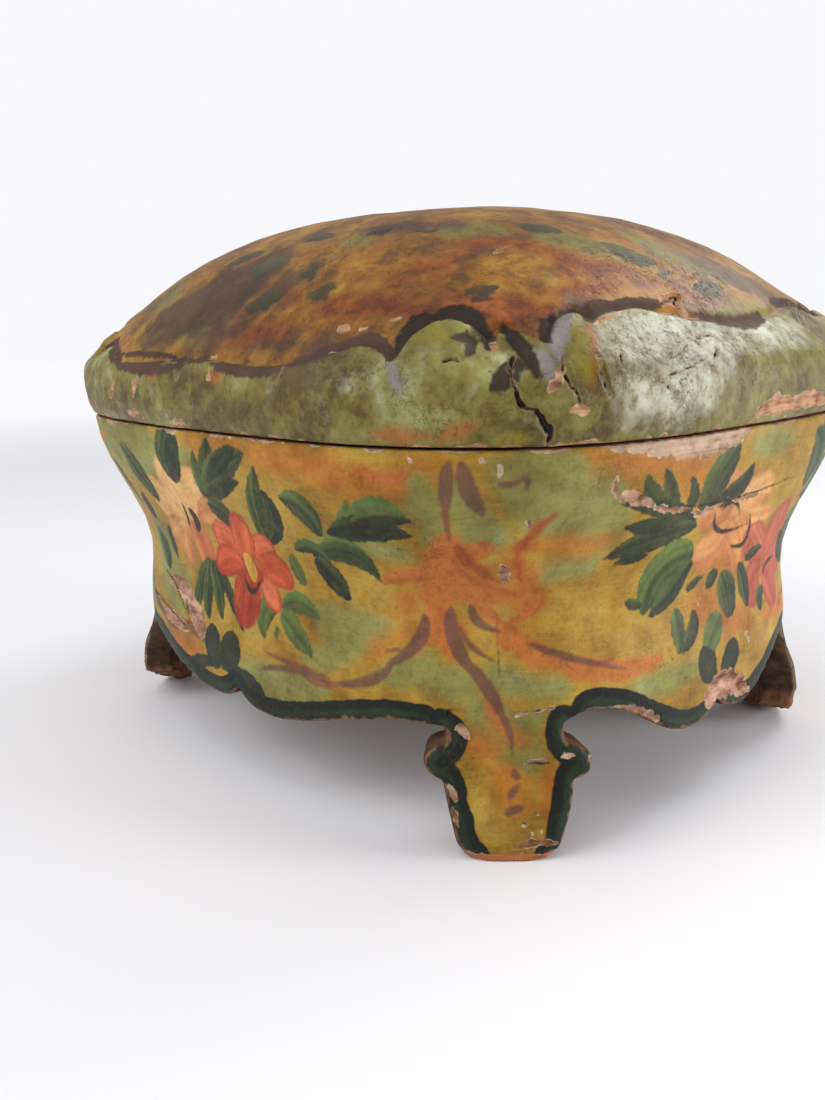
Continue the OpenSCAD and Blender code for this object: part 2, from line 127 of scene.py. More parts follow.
bpy.ops.mesh.primitive_plane_add(size=table_size)
table = bpy.context.object
table.name = "table"
table_white, tree, surface = fresh_material("table_white")
surface.inputs["Base Color"].default_value = table_colour
surface.inputs["Roughness"].default_value = 0.7
surface.inputs["Specular IOR Level"].default_value = 0.2
where = place(tree, "ShaderNodeTexCoord").outputs["Object"]
distance = place(tree, "ShaderNodeVectorMath", {0: where}, operation="LENGTH").outputs["Value"]
fade = place(
    tree,
    "ShaderNodeMapRange",
    {"Value": distance, "From Min": fade_start, "From Max": fade_end},
    interpolation_type="SMOOTHSTEP",
).outputs["Result"]
seen = place(tree, "ShaderNodeLightPath").outputs["Is Camera Ray"]
glow = place(tree, "ShaderNodeEmission", {"Color": tint(250, 250, 252), "Strength": 1.0})
mixed = place(
    tree,
    "ShaderNodeMixShader",
    {0: sums(tree, "MULTIPLY", fade, seen), 1: surface.outputs[0], 2: glow.outputs[0]},
)
tree.links.new(mixed.outputs[0], tree.nodes["Material Output"].inputs["Surface"])
table.data.materials.append(table_white)

world = bpy.context.scene.world or bpy.data.worlds.new("studio")
bpy.context.scene.world = world
world.use_nodes = True
tree = world.node_tree
background = tree.nodes["Background"]
seen = place(tree, "ShaderNodeLightPath").outputs["Is Camera Ray"]
strength = place(
    tree, "ShaderNodeMapRange", {"Value": seen, "To Min": 0.5, "To Max": 0.97}
).outputs["Result"]
background.inputs["Color"].default_value = tint(252, 252, 255)
tree.links.new(strength, background.inputs["Strength"])


box_middle = 0.1


def soft_light(name, azimuth, rise, distance, size, watts):
    """A square soft light, placed by its direction from the box in degrees."""
    turn = math.radians(azimuth)
    lift = math.radians(rise)
    flat = distance * math.cos(lift)
    height = box_middle + distance * math.sin(lift)
    spot = (flat * math.cos(turn), flat * math.sin(turn), height)
    bpy.ops.object.light_add(type="AREA", location=spot)
    lamp = bpy.context.object
    lamp.name = name
    lamp.data.size = size
    lamp.data.energy = watts
    aim = Vector((0, 0, box_middle)) - lamp.location
    lamp.rotation_euler = aim.to_track_quat("-Z", "Y").to_euler()


soft_light("tall_window", azimuth=33, rise=8, distance=1.1, size=0.45, watts=8)
soft_light("back_window", azimuth=80, rise=42, distance=1.2, size=0.5, watts=3.8)
soft_light("room", azimuth=-105, rise=32, distance=1.3, size=0.9, watts=8)
soft_light("ceiling", azimuth=-60, rise=75, distance=1.3, size=1.2, watts=5)

bpy.context.scene.view_settings.view_transform = "Standard"

# The body's skin
# Four limewood boards, mitred at the corners, with a carved foot glued under each corner. Paint
# and wear run across the joints, so the solids become one skin, which is parted again later.
millimetre = 0.001


def one_skin(nodes, cell, passes):
    """Solids made into one skin of small even faces, with its edges rubbed down."""
    bpy.ops.object.select_all(action="DESELECT")
    copies = []
    for node in nodes:
        copy = bpy.data.objects.new("skin_of_" + node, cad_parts[node].data.copy())
        copy.data.materials.clear()
        bpy.context.scene.collection.objects.link(copy)
        copy.select_set(True)
        copies.append(copy)
    skin = copies[0]
    bpy.context.view_layer.objects.active = skin
    bpy.ops.object.mode_set(mode="EDIT")
    bpy.ops.mesh.select_all(action="SELECT")
    bpy.ops.mesh.remove_doubles(threshold=0.01 * millimetre)
    bpy.ops.object.mode_set(mode="OBJECT")
    if len(copies) > 1:
        bpy.ops.object.join()
    cells = skin.modifiers.new("cells", "REMESH")
    cells.mode = "VOXEL"
    cells.voxel_size = cell * millimetre
    rubbed = skin.modifiers.new("rubbed", "SMOOTH")
    rubbed.factor = 0.5
    rubbed.iterations = passes
    for modifier in ("cells", "rubbed"):
        bpy.ops.object.modifier_apply(modifier=modifier)
    bpy.ops.object.shade_smooth()
    return skin


def points_of(piece):
    """The piece's points, in millimetres."""
    flat = np.empty(3 * len(piece.data.vertices))
    piece.data.vertices.foreach_get("co", flat)
    return flat.reshape(-1, 3) / millimetre


def normals_of(piece):
    flat = np.empty(3 * len(piece.data.vertices))
    piece.data.vertex_normals.foreach_get("vector", flat)
    return flat.reshape(-1, 3)


def face_middles(piece):
    flat = np.empty(3 * len(piece.data.polygons))
    piece.data.polygons.foreach_get("center", flat)
    return flat.reshape(-1, 3) / millimetre


def edit_faces(piece, chosen):
    """Opens the piece for editing, with the chosen faces selected."""
    bpy.ops.object.select_all(action="DESELECT")
    bpy.context.view_layer.objects.active = piece
    piece.select_set(True)
    bpy.ops.object.mode_set(mode="EDIT")
    bpy.ops.mesh.select_mode(type="FACE")
    bpy.ops.mesh.select_all(action="DESELECT")
    bpy.ops.object.mode_set(mode="OBJECT")
    piece.data.polygons.foreach_set("select", chosen)
    bpy.ops.object.mode_set(mode="EDIT")


def part(skin, chosen, point, facing):
    """Parts the chosen faces where a plane passes."""
    edit_faces(skin, chosen)
    bpy.ops.mesh.bisect(plane_co=[value * millimetre for value in point], plane_no=facing)
    bpy.ops.object.mode_set(mode="OBJECT")


def taken_from(skin, name, own, ring=False):
    """A piece made of its own faces of the skin, closed where it was parted by a ring or caps."""
    piece = bpy.data.objects.new(name, skin.data.copy())
    bpy.context.scene.collection.objects.link(piece)
    edit_faces(piece, ~own)
    bpy.ops.mesh.delete(type="FACE")
    bpy.ops.mesh.select_mode(type="EDGE")
    bpy.ops.mesh.select_non_manifold(extend=False)
    bpy.ops.mesh.mark_sharp()
    if ring:
        bpy.ops.mesh.bridge_edge_loops()
    else:
        bpy.ops.mesh.fill_holes(sides=0)
        bpy.ops.mesh.select_non_manifold(extend=False)
        _, open_edges, _ = piece.data.count_selected_items()
        if open_edges:
            bpy.ops.mesh.fill()
    bpy.ops.object.mode_set(mode="OBJECT")
    return piece


def oval_corner(half_x, half_y, squareness):
    """Where a squarish oval comes nearest to its corner."""
    bend = squareness / (squareness - 1)
    x = half_x * (1 + (half_y / half_x) ** bend) ** (-1 / squareness)
    y = half_y * (1 + (half_x / half_y) ** bend) ** (-1 / squareness)
    return x, y


rim_half_x, rim_half_y, _ = (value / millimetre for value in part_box("lid_top")[1])
rim_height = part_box("front_board")[1][2] / millimetre
rim_squareness = 3.35
skirt_inset = 9.7
skirt_squareness = 2.75
foot_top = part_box("foot_front_right")[1][2] / millimetre
neck_height = foot_top - 6
neck_width = 32
foot_reach_sideways = 30
rim_corner = oval_corner(rim_half_x, rim_half_y, rim_squareness)
mitre_start = rim_corner[0] - rim_corner[1]
skirt_corner = oval_corner(
    rim_half_x - skirt_inset, rim_half_y - skirt_inset, skirt_squareness
)
foot_angle = math.atan2(skirt_corner[1], skirt_corner[0])
neck_half_angle = neck_width / 2 / math.hypot(*skirt_corner)
side_names = ("front", "right", "back", "left")
corner_names = ("front_right", "front_left", "back_right", "back_left")

body = one_skin(
    [side + "_board" for side in side_names] + ["foot_" + corner for corner in corner_names],
    cell=0.75,
    passes=8,
)


near_cut = 2
near_mitre = 3


def side_of(middles):
    """Which side a face is on, between the mitres: 0 front, 1 right, 2 back, 3 left."""
    x, y, _ = middles.T
    front_or_back = np.where(y < 0, 0, 2)
    left = -x - mitre_start > np.abs(y)
    return np.where(x - mitre_start > np.abs(y), 1, np.where(left, 3, front_or_back))


def part_mitres(skin, below):
    """Parts the skin along the four mitres, up to a height."""
    for x_sign in (1, -1):
        for y_sign in (1, -1):
            x, y, z = face_middles(skin).T
            off = (x * x_sign - mitre_start) - y * y_sign
            near = np.abs(off) < near_mitre
            chosen = near & (x * x_sign > 0) & (y * y_sign > 0) & (z < below)
            part(skin, chosen, (mitre_start * x_sign, 0, 0), (x_sign, -y_sign, 0))


part_mitres(body, rim_height + 1)
for x_sign in (1, -1):
    for y_sign in (1, -1):
        for edge_angle in (foot_angle - neck_half_angle, foot_angle + neck_half_angle):
            facing = (-y_sign * math.sin(edge_angle), x_sign * math.cos(edge_angle), 0)
            middles = face_middles(body)
            x, y, z = middles.T
            near = np.abs(middles @ facing) < near_mitre
            chosen = near & (x * x_sign > 0) & (y * y_sign > 0) & (z < foot_top + 1)
            part(body, chosen, (0, 0, 0), facing)


def under_neck(middles):
    """Whether each face is inside the sector of a foot's neck, and how far off its middle."""
    x, y = np.abs(middles[:, 0]), np.abs(middles[:, 1])
    off_angle = np.arctan2(y, x) - foot_angle
    return np.abs(off_angle) < neck_half_angle, np.abs(off_angle) * np.hypot(x, y)


for height in (foot_top, neck_height):
    middles = face_middles(body)
    in_neck, sideways = under_neck(middles)
    place_right = in_neck if height == foot_top else ~in_neck & (sideways < foot_reach_sideways)
    chosen = place_right & (np.abs(middles[:, 2] - height) < near_cut)
    part(body, chosen, (0, 0, height), (0, 0, 1))
middles = face_middles(body)
in_neck, sideways = under_neck(middles)
on_foot = in_neck & (middles[:, 2] < foot_top)
on_foot |= (sideways < foot_reach_sideways) & (middles[:, 2] < neck_height)
body_side = side_of(middles)
right_half = middles[:, 0] > 0
front_half = middles[:, 1] < 0


def faces_out(piece):
    """1 on the painted outside and 0 on the inside, the edges and the undersides."""
    points = points_of(piece)
    radial = points[:, :2] / np.linalg.norm(points[:, :2], axis=1)[:, None]
    outward = np.sum(normals_of(piece)[:, :2] * radial, axis=1)
    return np.clip((outward - 0.25) / 0.3, 0, 1)


def push(piece, depth):
    """Moves each point along its normal by a depth in millimetres, as a knife or wear would."""
    moved = points_of(piece) + normals_of(piece) * depth[:, None]
    piece.data.vertices.foreach_set("co", (moved * millimetre).ravel())
    piece.data.update()


def give(piece, name, values):
    """Stores one number for each point, for the materials to read."""
    layer = piece.data.attributes.new(name, "FLOAT", "POINT")
    layer.data.foreach_set("value", np.asarray(values, dtype=np.float32))


def bell(values, middle, width):
    """1 at the middle, falling softly to 0 on both sides."""
    return np.exp(-(((values - middle) / width) ** 2))


def ripple(points, size, seed):
    """Soft irregular waves from -1 to 1, of about the given size in millimetres."""
    dice = np.random.default_rng(seed)
    total = np.zeros(len(points))
    for _ in range(7):
        heading = dice.normal(size=3)
        heading /= np.linalg.norm(heading)
        pitch = size * dice.uniform(0.7, 1.5)
        total += np.sin(points @ heading * 2 * np.pi / pitch + dice.uniform(0, 6.3))
    return total / 3.5


# The body's painted ornament
# Brush strokes by the way along the rim, negative on the front and positive on the right side, and
# by height, in millimetres. The left side and the back repeat them. Each has its base, middle and
# tip, its width and, where it is used, a tone from dark 0 to light 1.
angles = np.linspace(-135, 45, 3601)
cosines = np.cos(np.radians(angles))
sines = np.sin(np.radians(angles))
reach = (np.abs(cosines) ** rim_squareness + np.abs(sines) ** rim_squareness) ** (
    -1 / rim_squareness
)
rim_x = rim_half_x * reach * cosines
rim_y = rim_half_y * reach * sines
travel = np.concatenate([[0], np.cumsum(np.hypot(np.diff(rim_x), np.diff(rim_y)))])
travel -= np.interp(-45, angles, travel)
front_length = -travel[0]
side_length = travel[-1]


def along_rim(points):
    angle = np.degrees(np.arctan2(points[:, 1] / rim_half_y, points[:, 0] / rim_half_x))
    return np.interp((angle + 135) % 180 - 135, angles, travel)


def from_corner(along):
    """The same ornament stands at each corner, and is mirrored at every second one."""
    on_front = np.where(along < -front_length / 2, -front_length - along, along)
    return np.where(along > side_length / 2, side_length - along, on_front)


far_outside = -20.0
stroke_legs = 12


def brush(across, up, stroke, fullest, blunt):
    """How deep each point is in a stroke, how far to its upper left, and how far off its spine."""
    base, middle, tip = (np.array(point, dtype=float) for point in stroke[:3])
    width = stroke[3]
    bend = 2 * middle - (base + tip) / 2
    steps = np.linspace(0, 1, stroke_legs + 1)[:, None]
    spine = (1 - steps) ** 2 * base + 2 * steps * (1 - steps) * bend + steps**2 * tip
    power = math.log(0.5) / math.log(fullest)
    depth = np.full(len(across), far_outside)
    lift = np.zeros(len(across))
    aside = np.zeros(len(across))
    low = spine.min(axis=0) - width - 3
    high = spine.max(axis=0) + width + 3
    near = np.flatnonzero(
        (across > low[0]) & (across < high[0]) & (up > low[1]) & (up < high[1])
    )
    for k in range(stroke_legs):
        leg = spine[k + 1] - spine[k]
        off_x = across[near] - spine[k][0]
        off_z = up[near] - spine[k][1]
        share = np.clip((off_x * leg[0] + off_z * leg[1]) / (leg @ leg + 1e-9), 0, 1)
        gap_x = off_x - share * leg[0]
        gap_z = off_z - share * leg[1]
        here = (k + share) / stroke_legs
        half = width / 2 * np.sin(np.pi * np.clip(here, 0.001, 0.999) ** power) ** blunt
        inside = half - np.hypot(gap_x, gap_z)
        better = inside > depth[near]
        chosen = near[better]
        depth[chosen] = inside[better]
        lift[chosen] = np.clip((0.8 * gap_z - 0.6 * gap_x) / (half + 0.3), -1, 1)[better]
        off_spine = (gap_x * leg[1] - gap_z * leg[0]) / (np.hypot(leg[0], leg[1]) + 1e-9)
        aside[chosen] = off_spine[better]
    return depth, lift, aside


def covered(across, up, strokes, fullest=0.45, blunt=0.75):
    """How deep each point lies in patches of one tone."""
    depth = np.full(len(across), far_outside)
    for stroke in strokes:
        depth = np.maximum(depth, brush(across, up, stroke, fullest, blunt)[0])
    return np.clip(depth, -6, 6)


hair_count = 900
hairs_in_a_millimetre = 0.95
strokes_before_repeat = 37
veined_width = 6.5
vein_half_width = 0.6
bristles = np.random.default_rng(5).uniform(-1, 1, hair_count)


def painted(
    across, up, strokes, lit=0.0, fullest=0.45, blunt=0.75, apart=False, hair=0.0, vein=0.0
):
    """How deep each point lies in the paint, and its tone, streaked by the brush's hairs."""
    depth = np.full(len(across), far_outside)
    tone = np.zeros(len(across))
    for number, stroke in enumerate(strokes):
        inside, lift, aside = brush(across, up, stroke, fullest, blunt)
        over = inside > np.minimum(depth, 0 if apart else -0.2)
        first_hair = 20 + 23 * (number % strokes_before_repeat)
        hair_number = hairs_in_a_millimetre * aside + first_hair
        hairs = np.interp(hair_number, np.arange(hair_count), bristles)
        on_vein = bell(aside, 0, vein_half_width) * (stroke[3] > veined_width)
        tone = np.where(over, stroke[4] + lit * lift + hair * hairs - vein * on_vein, tone)
        depth = np.where(apart & (inside > 0), inside, np.maximum(depth, inside))
    return np.clip(depth, -6, 6), np.clip(tone, 0, 1)


# Leaves of the front's bunch of flowers
front_leaves = [
    ((-118, 113), (-124, 106), (-123, 98), 15, 0.15),
    ((-147, 88), (-153, 99), (-160, 107), 11, 0.45),
    ((-162, 88), (-163, 84), (-162, 81), 8, 0.2),
    ((-178, 100), (-176, 92), (-170, 84), 8, 0.4),
    ((-109, 94), (-108, 101), (-107, 109), 6, 0.55),
    ((-108, 94), (-101, 105), (-98, 113), 8, 0.35),
    ((-107, 94), (-94, 104), (-79, 110), 11, 0.45),
    ((-103, 99), (-92, 107), (-84, 111), 6, 0.2),
    ((-108, 93), (-96, 98), (-85, 101), 6, 0.08),
    ((-109, 91), (-101, 89), (-98, 85), 9, 0.2),
    ((-79, 82), (-80, 92), (-75, 107), 10, 0.4),
    ((-79, 82), (-72, 91), (-75, 100), 7, 0.12),
    ((-53, 88), (-58, 96), (-67, 98), 9, 0.35),
    ((-47, 89), (-43, 94), (-39, 101), 3.5, 0.7),
    ((-42, 93), (-31, 99), (-21, 96), 6, 0.7),
    ((-50, 89), (-35, 92), (-20, 91), 8, 0.15),
    ((-40, 93), (-29, 96), (-19, 95), 5, 0.3),
    ((-59, 81), (-43, 84), (-32, 76), 8, 0.4),
    ((-67, 82), (-59, 84), (-52, 81), 5, 0.3),
    ((-58, 80), (-51, 75), (-45, 69), 8, 0.08),
    ((-70, 80), (-68, 75), (-65, 71), 6, 0.5),
    ((-79, 62), (-69, 65), (-58, 61), 7, 0.75),
    ((-79, 60), (-71, 56), (-62, 50), 8, 0.7),
    ((-80, 63), (-88, 59), (-87, 51), 9, 0.65),
    ((-81, 56), (-81, 54), (-80, 52), 2.5, 0.5),
    ((-124, 71), (-131, 60), (-132, 53), 8, 0.4),
    ((-123, 71), (-125, 59), (-122, 51), 7, 0.3),
    ((-122, 71), (-118, 61), (-113, 52), 7, 0.35),
    ((-120, 71), (-111, 62), (-99, 50), 5, 0.12),
    ((-150, 79), (-152, 73), (-149, 67), 5, 0.2),
    ((-165, 75), (-163, 69), (-159, 62), 10, 0.45),
]
# Leaves of the side's bunch; those above and left of the flower come again on its far side
side_leaves = [
    ((56, 95), (47, 101), (44, 106), 5, 0.35),
    ((60, 94), (54, 101), (50, 107), 5, 0.3),
    ((62, 91), (65, 97), (61, 104), 5, 0.15),
    ((72, 88), (55, 95), (37, 99), 6, 0.1),
    ((72, 88), (52, 87), (36, 83), 8, 0.2),
    ((62, 91), (50, 91), (40, 92), 5, 0.1),
    ((75, 79), (61, 76), (55, 64), 15, 0.5),
    ((76, 77), (68, 69), (57, 63), 7, 0.15),
    ((74, 92), (75, 102), (83, 110), 13, 0.35),
    ((76, 95), (88, 97), (92, 104), 8, 0.15),
    ((53, 82), (46, 82), (40, 81), 3.6, 0.1),
    ((54, 67), (50, 68), (47, 69), 3.5, 0.35),
    ((96, 69), (100, 62), (100, 56), 11, 0.4),
    ((106, 71), (111, 63), (112, 56), 7, 0.35),
    ((125, 60), (122, 57), (123, 53), 6, 0.4),
    ((110, 72), (115, 73), (121, 74), 4.5, 0.15),
    ((87, 67), (90, 69), (93, 71), 5, 0.1),
    ((76, 68), (79, 69), (86, 71), 3, 0.1),
    ((70, 63), (71, 57), (71, 50), 7, 0.4),
    ((80, 61), (78, 55), (72, 50), 6, 0.1),
    ((86, 49), (90, 53), (95, 57), 10, 0.6),
]
side_bunch_middle = 106
side_leaves += [
    tuple((2 * side_bunch_middle - a, b) for a, b in leaf[:3]) + leaf[3:]
    for leaf in side_leaves[:9]
]
# Three round leaves over the cusp in the middle of each side
trefoils = [
    ((-117, 36), (-120, 41), (-119, 47), 12),
    ((-114, 36), (-109, 42), (-106, 46), 12),
    ((-115, 36), (-129, 35), (-145, 29), 5),
    ((-115, 36), (-100, 36), (-88, 32), 5),
    ((91, 38), (86, 43), (85, 48), 10),
    ((94, 38), (99, 42), (102, 46), 10),
]
# Petals of the red, the peach and the pink flower
red_petals = [
    ((-97, 74), (-104, 79), (-112, 80), 13, 0.6),
    ((-98, 71), (-107, 73), (-117, 69), 11, 0.4),
    ((-95, 74), (-87, 80), (-79, 80), 9, 0.6),
    ((-96, 73), (-96, 80), (-92, 88), 13, 0.5),
    ((-92, 71), (-82, 74), (-73, 70), 11, 0.45),
    ((-91, 69), (-86, 66), (-80, 62), 9, 0.8),
    ((-96, 70), (-99, 63), (-99, 57), 17, 0.2),
    ((-97, 72), (-94, 71), (-91, 69), 8, 0.35),
]
peach_petals = [
    ((-128, 82), (-139, 87), (-147, 92), 17, 0.85),
    ((-125, 84), (-127, 93), (-132, 100), 18, 0.9),
    ((-122, 85), (-115, 93), (-113, 99), 15, 0.85),
    ((-121, 84), (-110, 88), (-103, 84), 12, 0.5),
    ((-125, 82), (-125, 76), (-124, 70), 15, 0.25),
    ((-128, 82), (-140, 78), (-146, 75), 13, 0.6),
    ((-134, 80), (-138, 74), (-137, 70), 9, 0.5),
    ((89, 88), (80, 91), (74, 90), 10, 0.55),
    ((89, 88), (83, 94), (85, 99), 13, 0.6),
    ((90, 88), (98, 93), (108, 94), 14, 0.7),
    ((91, 87), (104, 84), (116, 84), 12, 0.65),
    ((90, 87), (87, 80), (79, 79), 14, 0.5),
    ((91, 87), (100, 80), (106, 73), 14, 0.45),
]
pink_petals = [
    ((124, 69), (116, 75), (107, 81), 12, 0.6),
    ((124, 69), (128, 77), (126, 85), 15, 0.5),
    ((125, 68), (136, 68), (147, 70), 15, 0.4),
    ((123, 68), (117, 64), (117, 58), 13, 0.25),
    ((125, 67), (132, 61), (136, 55), 14, 0.35),
]
# Marks in the flowers' hearts and swirls on the side's flowers: 1 is yellow and 0 is dark
flower_hearts = [
    ((-97, 76), (-95, 72), (-94, 68), 6, 1.0),
    ((-100, 69), (-96, 64), (-90, 69), 2, 0.0),
    ((-125, 88), (-123, 84), (-126, 80), 4, 0.1),
    ((-128, 90), (-129, 85), (-131, 80), 2, 0.4),
    ((80, 91), (87, 84), (104, 84), 1.6, 0.3),
    ((83, 90), (88, 93), (96, 88), 1.4, 0.3),
    ((97, 78), (107, 78), (103, 87), 1.8, 0.2),
    ((127, 63), (129, 67), (137, 68), 1.8, 0.2),
]
# The ribbon bow at each corner: a soft orange glaze, then thin mauve brown strokes over it
bow_glaze = [
    ((-8, 90), (-12, 83), (-16, 73), 12, 0.95),
    ((-16, 82), (-5, 86), (3, 89), 7, 0.9),
    ((-17, 71), (-10, 76), (-2, 72), 9, 0.85),
    ((-13, 80), (-23, 79), (-33, 76), 5, 0.75),
    ((-8, 89), (-2, 83), (7, 77), 4, 0.6),
    ((-7, 81), (4, 75), (14, 74), 6, 0.8),
    ((9, 67), (16, 72), (13, 80), 4, 0.65),
    ((13, 76), (10, 85), (12, 92), 3.5, 0.6),
    ((11, 88), (13, 93), (19, 98), 3.2, 0.55),
    ((-15, 72), (-16, 65), (-22, 57), 6, 0.8),
    ((-11, 71), (-12, 64), (-8, 56), 7, 0.8),
    ((-5, 78), (1, 70), (10, 64), 4, 0.7),
    ((0, 72), (8, 65), (21, 58), 4, 0.75),
    ((3, 65), (15, 58), (30, 53), 6, 0.95),
    ((19, 57), (38, 51), (64, 51), 7, 0.9),
    ((-34, 109), (-27, 107), (-19, 109), 4, 0.8),
    ((1, 45), (5, 41), (8, 35), 4, 0.8),
]
bow_strands = [
    ((-18, 68), (-20, 60), (-32, 52), 4.5, 0.1),
    ((-29, 53), (-38, 47), (-53, 44), 3.4, 0.1),
    ((-50, 44), (-60, 43), (-69, 45), 3.0, 0.4),
    ((-54, 45), (-70, 46), (-87, 47), 2.4, 0.4),
    ((-54, 44), (-76, 44), (-91, 40), 2.2, 0.3),
    ((-25, 57), (-28, 57), (-32, 56), 1.2, 0.2),
    ((-9, 71), (-8, 61), (-1, 51), 5, 0.15),
    ((-5, 56), (2, 48), (7, 39), 4.2, 0.1),
    ((4, 43), (8, 37), (9, 29), 2.2, 0.1),
    ((-7, 66), (-3, 60), (4, 56), 2, 0.25),
    ((-3, 72), (-1, 67), (6, 64), 3, 0.1),
    ((14, 61), (27, 56), (48, 50), 2.2, 0.12),
    ((35, 53), (39, 53), (43, 54), 1.4, 0.15),
    ((-9, 112), (-10, 105), (-10, 98), 4, 0.12),
    ((-10, 103), (-10, 97), (-9, 89), 2, 0.35),
    ((-6, 112), (-4, 104), (0, 98), 5, 0.12),
    ((3, 106), (6, 106), (9, 107), 2, 0.12),
    ((8, 107), (10, 107), (10, 104), 1.6, 0.1),
    ((9.5, 25.2), (9.7, 24.4), (10.3, 23.6), 2.6, 0.2),
    ((7.4, 18), (8.5, 20), (10.6, 22), 2.2, 0.15),
    ((6.3, 14), (8.5, 15.4), (11.8, 16.2), 2.4, 0.15),
]
# Patches of sage green and of orange glaze in the ochre ground; the last ones are at each corner
sage_patches = [
    ((-185, 109), (-155, 106), (-132, 105), 25),
    ((-110, 109), (-114, 106), (-121, 98), 6),
    ((-156, 78), (-161, 64), (-138, 55), 22),
    ((-105, 56), (-97, 58), (-90, 58), 8),
    ((-101, 38), (-86, 37), (-55, 41), 12),
    ((-63, 83), (-40, 87), (-21, 84), 8),
    ((-59, 62), (-47, 60), (-32, 62), 15),
    ((-68, 49), (-56, 51), (-44, 53), 8),
    ((5, 109), (20, 102), (38, 92), 24),
    ((17, 81), (25, 82), (34, 81), 7),
    ((51, 43), (63, 44), (82, 44), 9),
    ((33, 110), (37, 109), (41, 107), 3),
    ((89, 110), (101, 109), (114, 109), 8),
    ((136, 108), (148, 98), (160, 92), 18),
]
corner_sage = [
    ((-18, 109), (-17, 101), (-15, 90), 9),
    ((-14, 102), (-13, 98), (-11, 91), 5),
    ((-8, 105), (-4, 97), (6, 90), 12),
    ((-36, 49), (-16, 51), (-2, 45), 11),
    ((-4, 45), (2, 41), (14, 37), 9),
    ((2, 54), (13, 49), (27, 48), 9),
    ((-2, 39), (8, 37), (20, 41), 10),
    ((-2, 42), (7, 35), (16, 28), 15),
    ((3, 28), (11, 27), (19, 28), 5),
]
orange_patches = [
    ((-57, 108), (-36, 106), (-20, 104), 10),
    ((-20, 110), (-15, 110), (-9, 109), 4),
    ((-111, 111), (-98, 111), (-81, 112), 5),
    ((-78, 110), (-60, 109), (-44, 107), 8),
    ((-27, 67), (-23, 70), (-20, 73), 8),
    ((-38, 55), (-28, 60), (-20, 66), 6),
    ((-15, 63), (-10, 67), (-4, 61), 7),
    ((26, 112), (42, 109), (65, 107), 7),
    ((60, 105), (69, 101), (71, 94), 14),
    ((10, 90), (23, 88), (39, 89), 6),
    ((77, 78), (90, 78), (108, 70), 15),
    ((78, 64), (92, 58), (115, 51), 11),
    ((-159, 35), (-143, 36), (-131, 38), 15),
    ((5, 85), (12, 78), (13, 67), 12),
]
corner_orange = [
    ((-3, 34), (1, 32), (5, 30), 7),
    ((6, 26), (8.5, 21), (11, 16), 9),
    ((20, 26), (20, 22), (18, 15), 5),
    ((2, 38), (9, 35), (14, 32), 4),
]
# Places where paint and gesso have come off, down to pinkish wood
body_losses = [
    ((-160, 58), (-144, 57), (-131, 51), 7),
    ((-139, 52), (-131, 49), (-129, 43), 10),
    ((-164, 46), (-150, 45), (-137, 44), 6),
    ((5, 83), (6.4, 81), (6.6, 78), 3.4),
    ((34, 107), (34, 103), (38, 99), 2.4),
    ((37, 102), (41, 100), (50, 97), 4),
    ((48, 97), (56, 95), (66, 94), 2.4),
    ((66, 93), (74, 92), (84, 94), 2.4),
    ((83, 95), (94, 93), (106, 94), 2.0),
    ((82, 65), (83, 62), (83, 59), 2),
    ((-20, 112.6), (-19, 111.6), (-18.6, 110.8), 1.8),
    ((-2, 112.4), (-1, 111.8), (0.4, 111.2), 1.8),
    ((3, 111), (3.6, 109.6), (3, 107.6), 1.8),
    ((11, 96), (12, 95), (11.4, 94), 1.6),
    ((110, 49), (112, 47), (113, 45), 3.2),
    ((6, 40), (15, 41.3), (25, 43), 0.9),
    ((12, 27), (15, 28), (20.5, 28), 1.5),
    ((22, 28.5), (26, 29.3), (31, 29), 1.6),
    ((31.5, 29), (33, 26), (33, 23), 2.4),
    ((27, 23), (27.5, 21), (27, 17), 1.8),
    ((-10.5, 22), (-9.5, 20), (-8, 18), 3),
    ((-10, 17), (-9, 13), (-7, 7), 1.8),
    ((-8, 37), (-6, 36), (-4.5, 34), 3.4),
    ((10.6, 12.4), (12, 11.4), (12, 10), 2.4),
    ((12.6, 12), (13.2, 9), (12.8, 5), 1.1),
    ((12.6, 13.4), (15, 14.8), (16.3, 11), 1.1),
    ((16.2, 11), (16.6, 8), (15, 6), 1.0),
    ((9, 4), (14.5, 6), (22, 5), 2.8),
]
broken_edges = [
    ((28, 33), (44, 36), (62, 32), 8),
    ((86, 31), (97, 35), (114, 28), 9),
]
# Lower outline of the long chip under the lid on the right side, along the rim and in height
rim_chip_along = (28, 34, 42, 50, 59, 66, 76, 84, 88)
rim_chip_height = (115, 112.6, 111.4, 110, 108.4, 108, 109, 111.5, 115)
# Cracks in paint and gesso
body_cracks = [
    ((4.9, 68), (5.2, 61), (5.3, 52), 0.26),
    ((-166, 61), (-154, 57), (-141, 50), 0.9),
    ((-142, 54), (-139, 48), (-140, 43), 0.9),
    ((-190, 50), (-166, 49), (-138, 43), 0.8),
    ((60, 95.6), (84, 93.6), (124, 96), 0.7),
    ((13, 27.6), (17, 27.3), (20, 27.4), 0.6),
]

outward = faces_out(body)
points = points_of(body)
foot_middles = {}
for corner_name in corner_names:
    x_sign = 1 if "right" in corner_name else -1
    y_sign = 1 if "back" in corner_name else -1
    foot_middle = np.array([[skirt_corner[0] * x_sign, skirt_corner[1] * y_sign, 0]])
    foot_middles[corner_name] = along_rim(foot_middle)[0]
half_round = front_length + side_length


def off_middle(along, corner_name):
    """Way along the rim from the middle of a foot, or from the middle of the foot opposite."""
    return (along - foot_middles[corner_name] + half_round / 2) % half_round - half_round / 2


